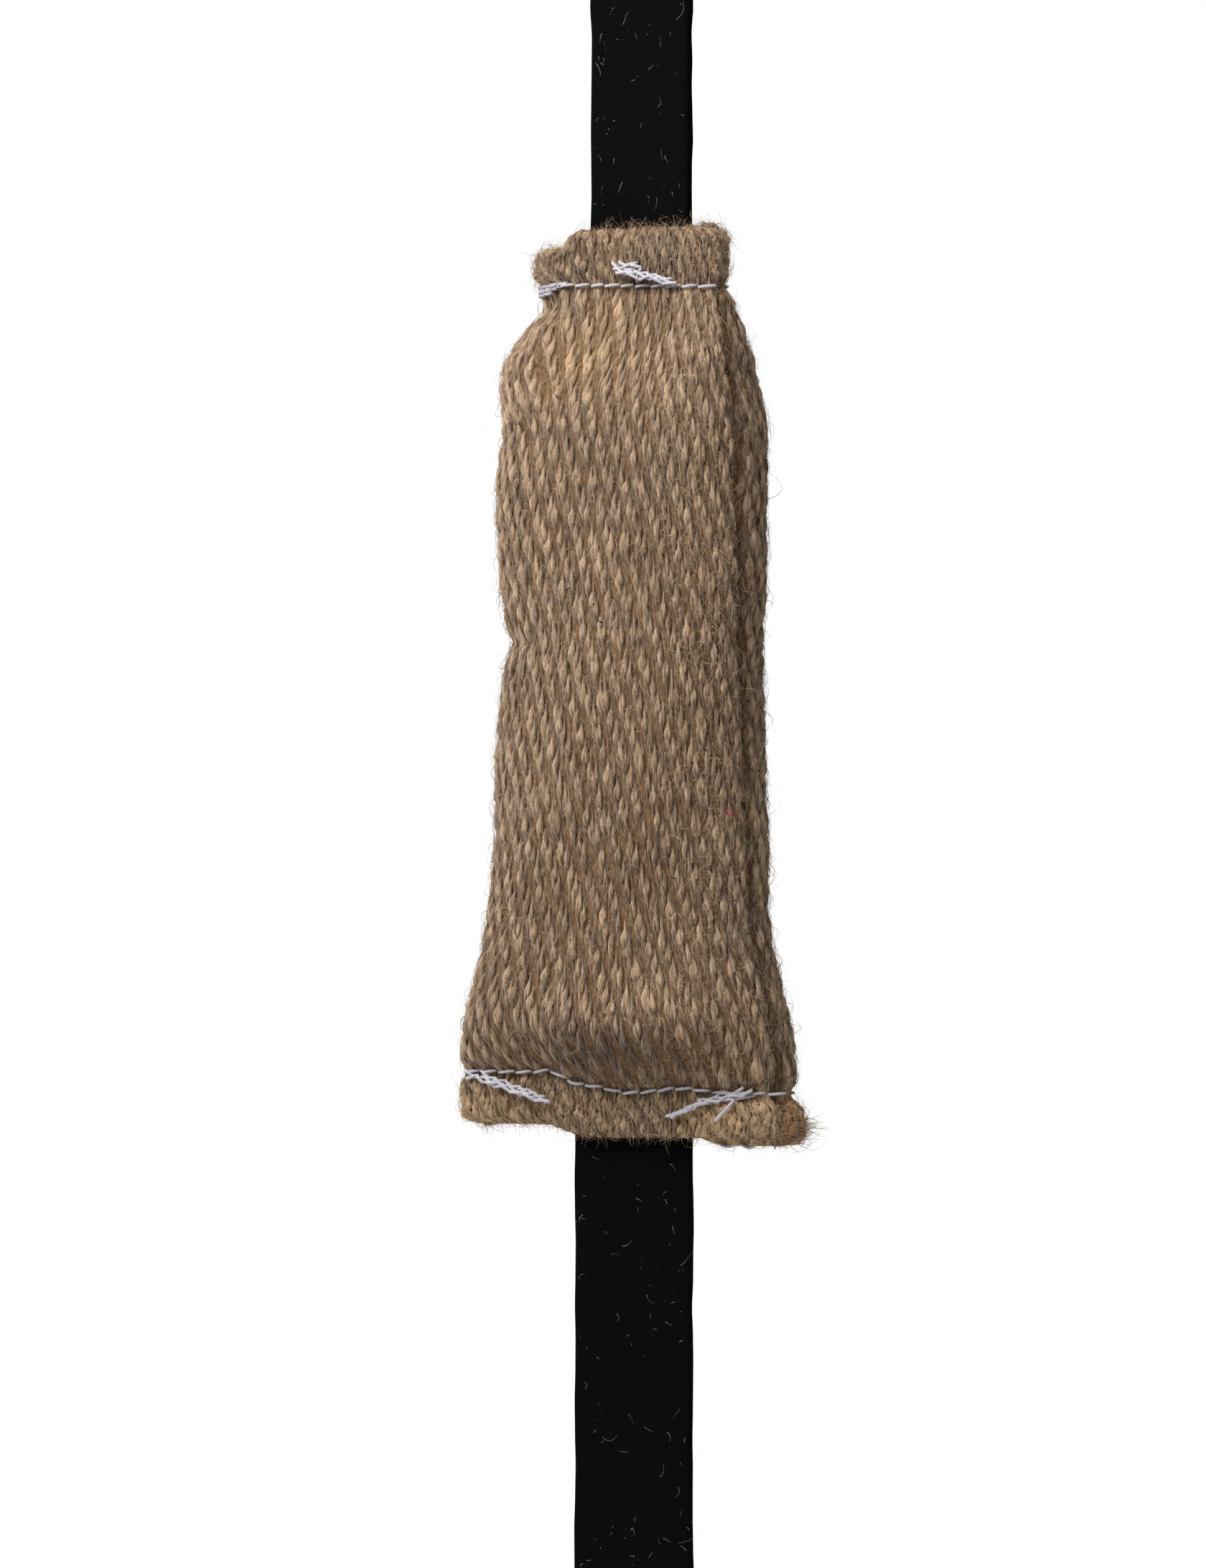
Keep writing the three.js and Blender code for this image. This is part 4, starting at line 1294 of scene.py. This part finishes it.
class JUTE_OT_fibres(bpy.types.Operator):
    """Scatter loose jute fibres over the pad, and lint on the strap"""

    bl_idname = "jute_pad.fibres"
    bl_label = "Loose fibres"

    def execute(self, context):
        settings = context.scene.jute_pad
        rng = np.random.default_rng(SEED + 3)
        lines = WeaveLines(settings, 1.4)
        finish = fibre_finish(settings.colours)
        few = 1
        across, rings = lines.middle.shape[:2]
        right = lines.form.left_columns + 14, lines.form.left_columns + 46
        lots = (
            ("jute_fuzz", 5200, (0, across), (6, rings - 6), 0.20),
            ("jute_fuzz_right", 2600, right, (14, rings - 10), 0.26),
            ("jute_fuzz_top", 900, (0, across), (5, 14), 0.26),
            ("jute_fuzz_bottom", 1100, (0, across), (rings - 14, rings - 5), 0.28),
        )
        for name, count, columns, levels, rise in lots:
            count = int(count * few)
            yarn, ring = rng.integers(*columns, count), rng.integers(*levels, count)
            start = lines.middle[yarn, ring] + lines.out[yarn, ring] * rng.uniform(0.5, 0.8, (count, 1))
            spin = rng.normal(np.pi / 2, 0.8, count)[:, None]
            flat = lines.across[yarn, ring] * np.cos(spin) + lines.along[yarn, ring] * np.sin(spin)
            flat = flat * rng.choice([-1, 1], (count, 1))
            size = rng.gamma(4.0, 0.62, count)[:, None]
            self.fibres(name, start, flat, lines.out[yarn, ring], size, finish, rng, "jute_cloth", rise)
        self.surface(lines, jute_finish(settings.colours, "jute_surface_fibre"), rng, few)
        self.frayed_end(lines.form, finish, rng)
        self.lint(settings, finish, rng)
        return {"FINISHED"}

    def surface(self, lines, finish, rng, few):
        """Short fibres that lie on the yarns, nearly along them."""
        across, rings = lines.middle.shape[:2]
        half = across // 2
        for name, columns in (("jute_surface_left", (0, half)), ("jute_surface_right", (half, across))):
            count = int(17000 * few)
            yarn, ring = rng.integers(*columns, count), rng.integers(5, rings - 5, count)
            out = lines.out[yarn, ring]
            start = lines.middle[yarn, ring] + out * rng.uniform(0.42, 0.62, (count, 1))
            start = start + lines.across[yarn, ring] * rng.normal(0, 0.35, (count, 1))
            spin = rng.normal(np.pi / 2, 0.24, count)[:, None]
            flat = lines.across[yarn, ring] * np.cos(spin) + lines.along[yarn, ring] * np.sin(spin)
            flat = flat * rng.choice([-1, 1], (count, 1))
            size = rng.gamma(5.0, 0.45, count)[:, None]
            self.fibres(name, start, flat, out, size, finish, rng, "jute_cloth", 0.02, 0.05, (0.0, 60.0), rings=5)

    def frayed_end(self, form, finish, rng):
        """The cloth's raw end, which sticks out of the bottom hem's right corner."""
        count = 130
        down = form.length - rng.uniform(0.6, 4.0, count)
        level = form.section(down)
        start = form.point(level[1] - rng.uniform(0.0, 2.5, count), rng.normal(0.5, 1.3, count), down, level)
        outward = unit(form.placed(level[1] + 1, 0 * down, down) - form.placed(level[1], 0 * down, down))
        flat = unit(outward + rng.normal(0, 0.13, (count, 3)) + np.array([0, 0, -0.08]))
        size = rng.gamma(9.0, 0.5, count)[:, None]
        up = np.broadcast_to(np.array([0, 0, 1.0]), start.shape)
        self.fibres("jute_frayed_end", start, flat, up, size, finish, rng, "jute_cloth", 0.1, 0.085, (0.0, 0.22))

    def fibres(self, name, start, flat, out, size, finish, rng, slot, rise=0.55, thick=0.024, pale=(0.2, 1.0), rings=7):
        """Bent fibres, one from each start."""
        count = len(start)
        t = np.linspace(0, 1, rings)[None, :, None]
        lift = rng.gamma(1.6, rise * 0.5, count)[:, None] + 0.05
        direction = unit(flat + out * lift)
        bow = unit(np.cross(direction, rng.normal(0, 1, (count, 3)))) * rng.normal(0, 0.22, (count, 1)) * size
        droop = -out * rng.uniform(-0.1, 0.45, (count, 1)) * size * lift
        line = start[:, None] + direction[:, None] * size[:, None] * t
        line = line + bow[:, None] * (4 * t * (1 - t)) + droop[:, None] * t**2
        wiggle = np.sin(t * rng.uniform(3, 9, (count, 1, 1)) + rng.uniform(0, 6, (count, 1, 1)))
        line = line + wiggle * unit(rng.normal(0, 1, (count, 1, 3))) * 0.035 * size[:, None]
        across, outward = frames(line, np.broadcast_to(out[:, None], line.shape) + 1e-3)
        radius = thick * rng.uniform(0.6, 1.5, (count, 1)) * (1 - 0.75 * t[..., 0])
        made = tubes(line, across, outward, radius, 3)
        quads, caps = tube_faces(count, rings, 3)
        marks = np.zeros(made.shape)
        marks[..., 2] = rng.uniform(*pale, (count, 1, 1))
        build_piece(name, made, [quads, caps], finish, marks=marks)

    def lint(self, settings, finish, rng):
        form = PadForm(settings)
        strap = settings.strap
        half = strap.thickness / MM / 2
        bottom = form.length + strap.below_pad / MM - strap.eye_length / MM - 22
        count = 230
        above = rng.uniform(0, 1, count) < 0.45
        down = np.where(above, rng.uniform(-68, -1, count), rng.uniform(form.length + 1, bottom, count))
        side = np.where(rng.uniform(0, 1, count) < 0.7, FRONT, BACK)
        across = rng.uniform(-12, 12, count)
        start = form.placed(across, side * (half + 0.03), down)
        out = unit(form.placed(across, side * (half + 1), down) - start)
        spin = rng.uniform(0, 2 * np.pi, count)[:, None]
        right = unit(form.placed(across + 1, side * (half + 0.03), down) - start)
        flat = right * np.cos(spin) + np.array([[0, 0, 1.0]]) * np.sin(spin)
        size = rng.gamma(2.0, 0.7, count)[:, None] + 0.3
        self.fibres("strap_lint", start, flat, out, size, finish, rng, "jute_cloth", rise=0.12, thick=0.02)


class JUTE_OT_flecks(bpy.types.Operator):
    """Put a few dark flecks of bark and two coloured specks between the yarns"""

    bl_idname = "jute_pad.flecks"
    bl_label = "Flecks"

    BARK, RED, GREEN = (0.035, 0.02, 0.012), (0.42, 0.02, 0.05), (0.10, 0.22, 0.05)
    # Across, below the top edge, length, lean and colour.
    PLACES = (
        (-11.3, 34.0, 1.3, 0.6, BARK), (-20.5, 39.4, 1.0, 1.2, BARK), (-12.2, 40.6, 0.9, 2.0, BARK),
        (-7.6, 73.0, 1.2, 2.6, BARK), (0.2, 79.6, 1.1, 0.4, BARK), (-3.5, 103.0, 0.9, 1.4, BARK),
        (21.0, 105.2, 1.2, 0.9, BARK), (10.5, 57.0, 0.8, 2.2, BARK), (14.0, 131.0, 1.0, 0.3, BARK),
        (24.4, 118.0, 1.3, 1.3, RED), (25.2, 118.4, 1.0, 0.5, RED), (27.2, 124.0, 1.3, 1.1, GREEN),
    )

    def execute(self, context):
        settings = context.scene.jute_pad
        form = PadForm(settings)
        parts, marks = [], []
        for s, down, size, lean, shade in self.PLACES:
            t = np.linspace(-0.5, 0.5, 7) * size
            bow = 0.22 * (1 - (t / size * 2) ** 2)
            line = form.face(s + t * math.cos(lean), down + t * math.sin(lean), FRONT, 0.42 + bow)
            towards = unit(form.face(s, down, FRONT, 1.0) - form.face(s, down, FRONT, 0.0))
            made = twisted(line, towards, 0.34, 2.0, plies=2, sides=5)
            parts.append(made)
            marks.append(np.tile(shade, (len(made[0]), 1)))
        f = Finish("jute_fleck", Roughness=0.7, Specular_IOR_Level=0.3)
        f.feed(Base_Color=f.marks())
        points, quads, caps = gather(parts)
        build_piece("jute_flecks", points, [quads, caps], f.material, marks=np.concatenate(marks))
        return {"FINISHED"}


class JUTE_PT_panel(bpy.types.Panel):
    """Lists the steps that build the pad"""

    bl_label = "Jute pad"
    bl_idname = "JUTE_PT_panel"
    bl_space_type = "VIEW_3D"
    bl_region_type = "UI"
    bl_category = "Jute pad"

    def draw(self, context):
        for step in STEPS:
            self.layout.operator(step.bl_idname)
        settings = context.scene.jute_pad
        for group in (settings.pad, settings.strap, settings.weave, settings.thread, settings.colours):
            box = self.layout.box()
            for name in group.bl_rna.properties.keys():
                if name not in ("rna_type", "name"):
                    box.prop(group, name)


STEPS = (
    JUTE_OT_stage,
    JUTE_OT_strap,
    JUTE_OT_cover,
    JUTE_OT_weave,
    JUTE_OT_wadding,
    JUTE_OT_seams,
    JUTE_OT_backtacks,
    JUTE_OT_loop_sewing,
    JUTE_OT_fibres,
    JUTE_OT_flecks,
)
GROUPS = (JutePadSizes, JuteStrapSizes, JuteWeaveSizes, JuteThreadSizes, JutePadColours, JutePadSettings)


def register():
    for kind in (*GROUPS, *STEPS, JUTE_PT_panel):
        bpy.utils.register_class(kind)
    bpy.types.Scene.jute_pad = PointerProperty(type=JutePadSettings)


def unregister():
    del bpy.types.Scene.jute_pad
    for kind in reversed((*GROUPS, *STEPS, JUTE_PT_panel)):
        bpy.utils.unregister_class(kind)


def main():
    register()
    for step in STEPS:
        group, name = step.bl_idname.split(".")
        if getattr(getattr(bpy.ops, group), name)() != {"FINISHED"}:
            raise RuntimeError(f"{step.bl_label} could not be finished")


if __name__ == "__main__":
    main()
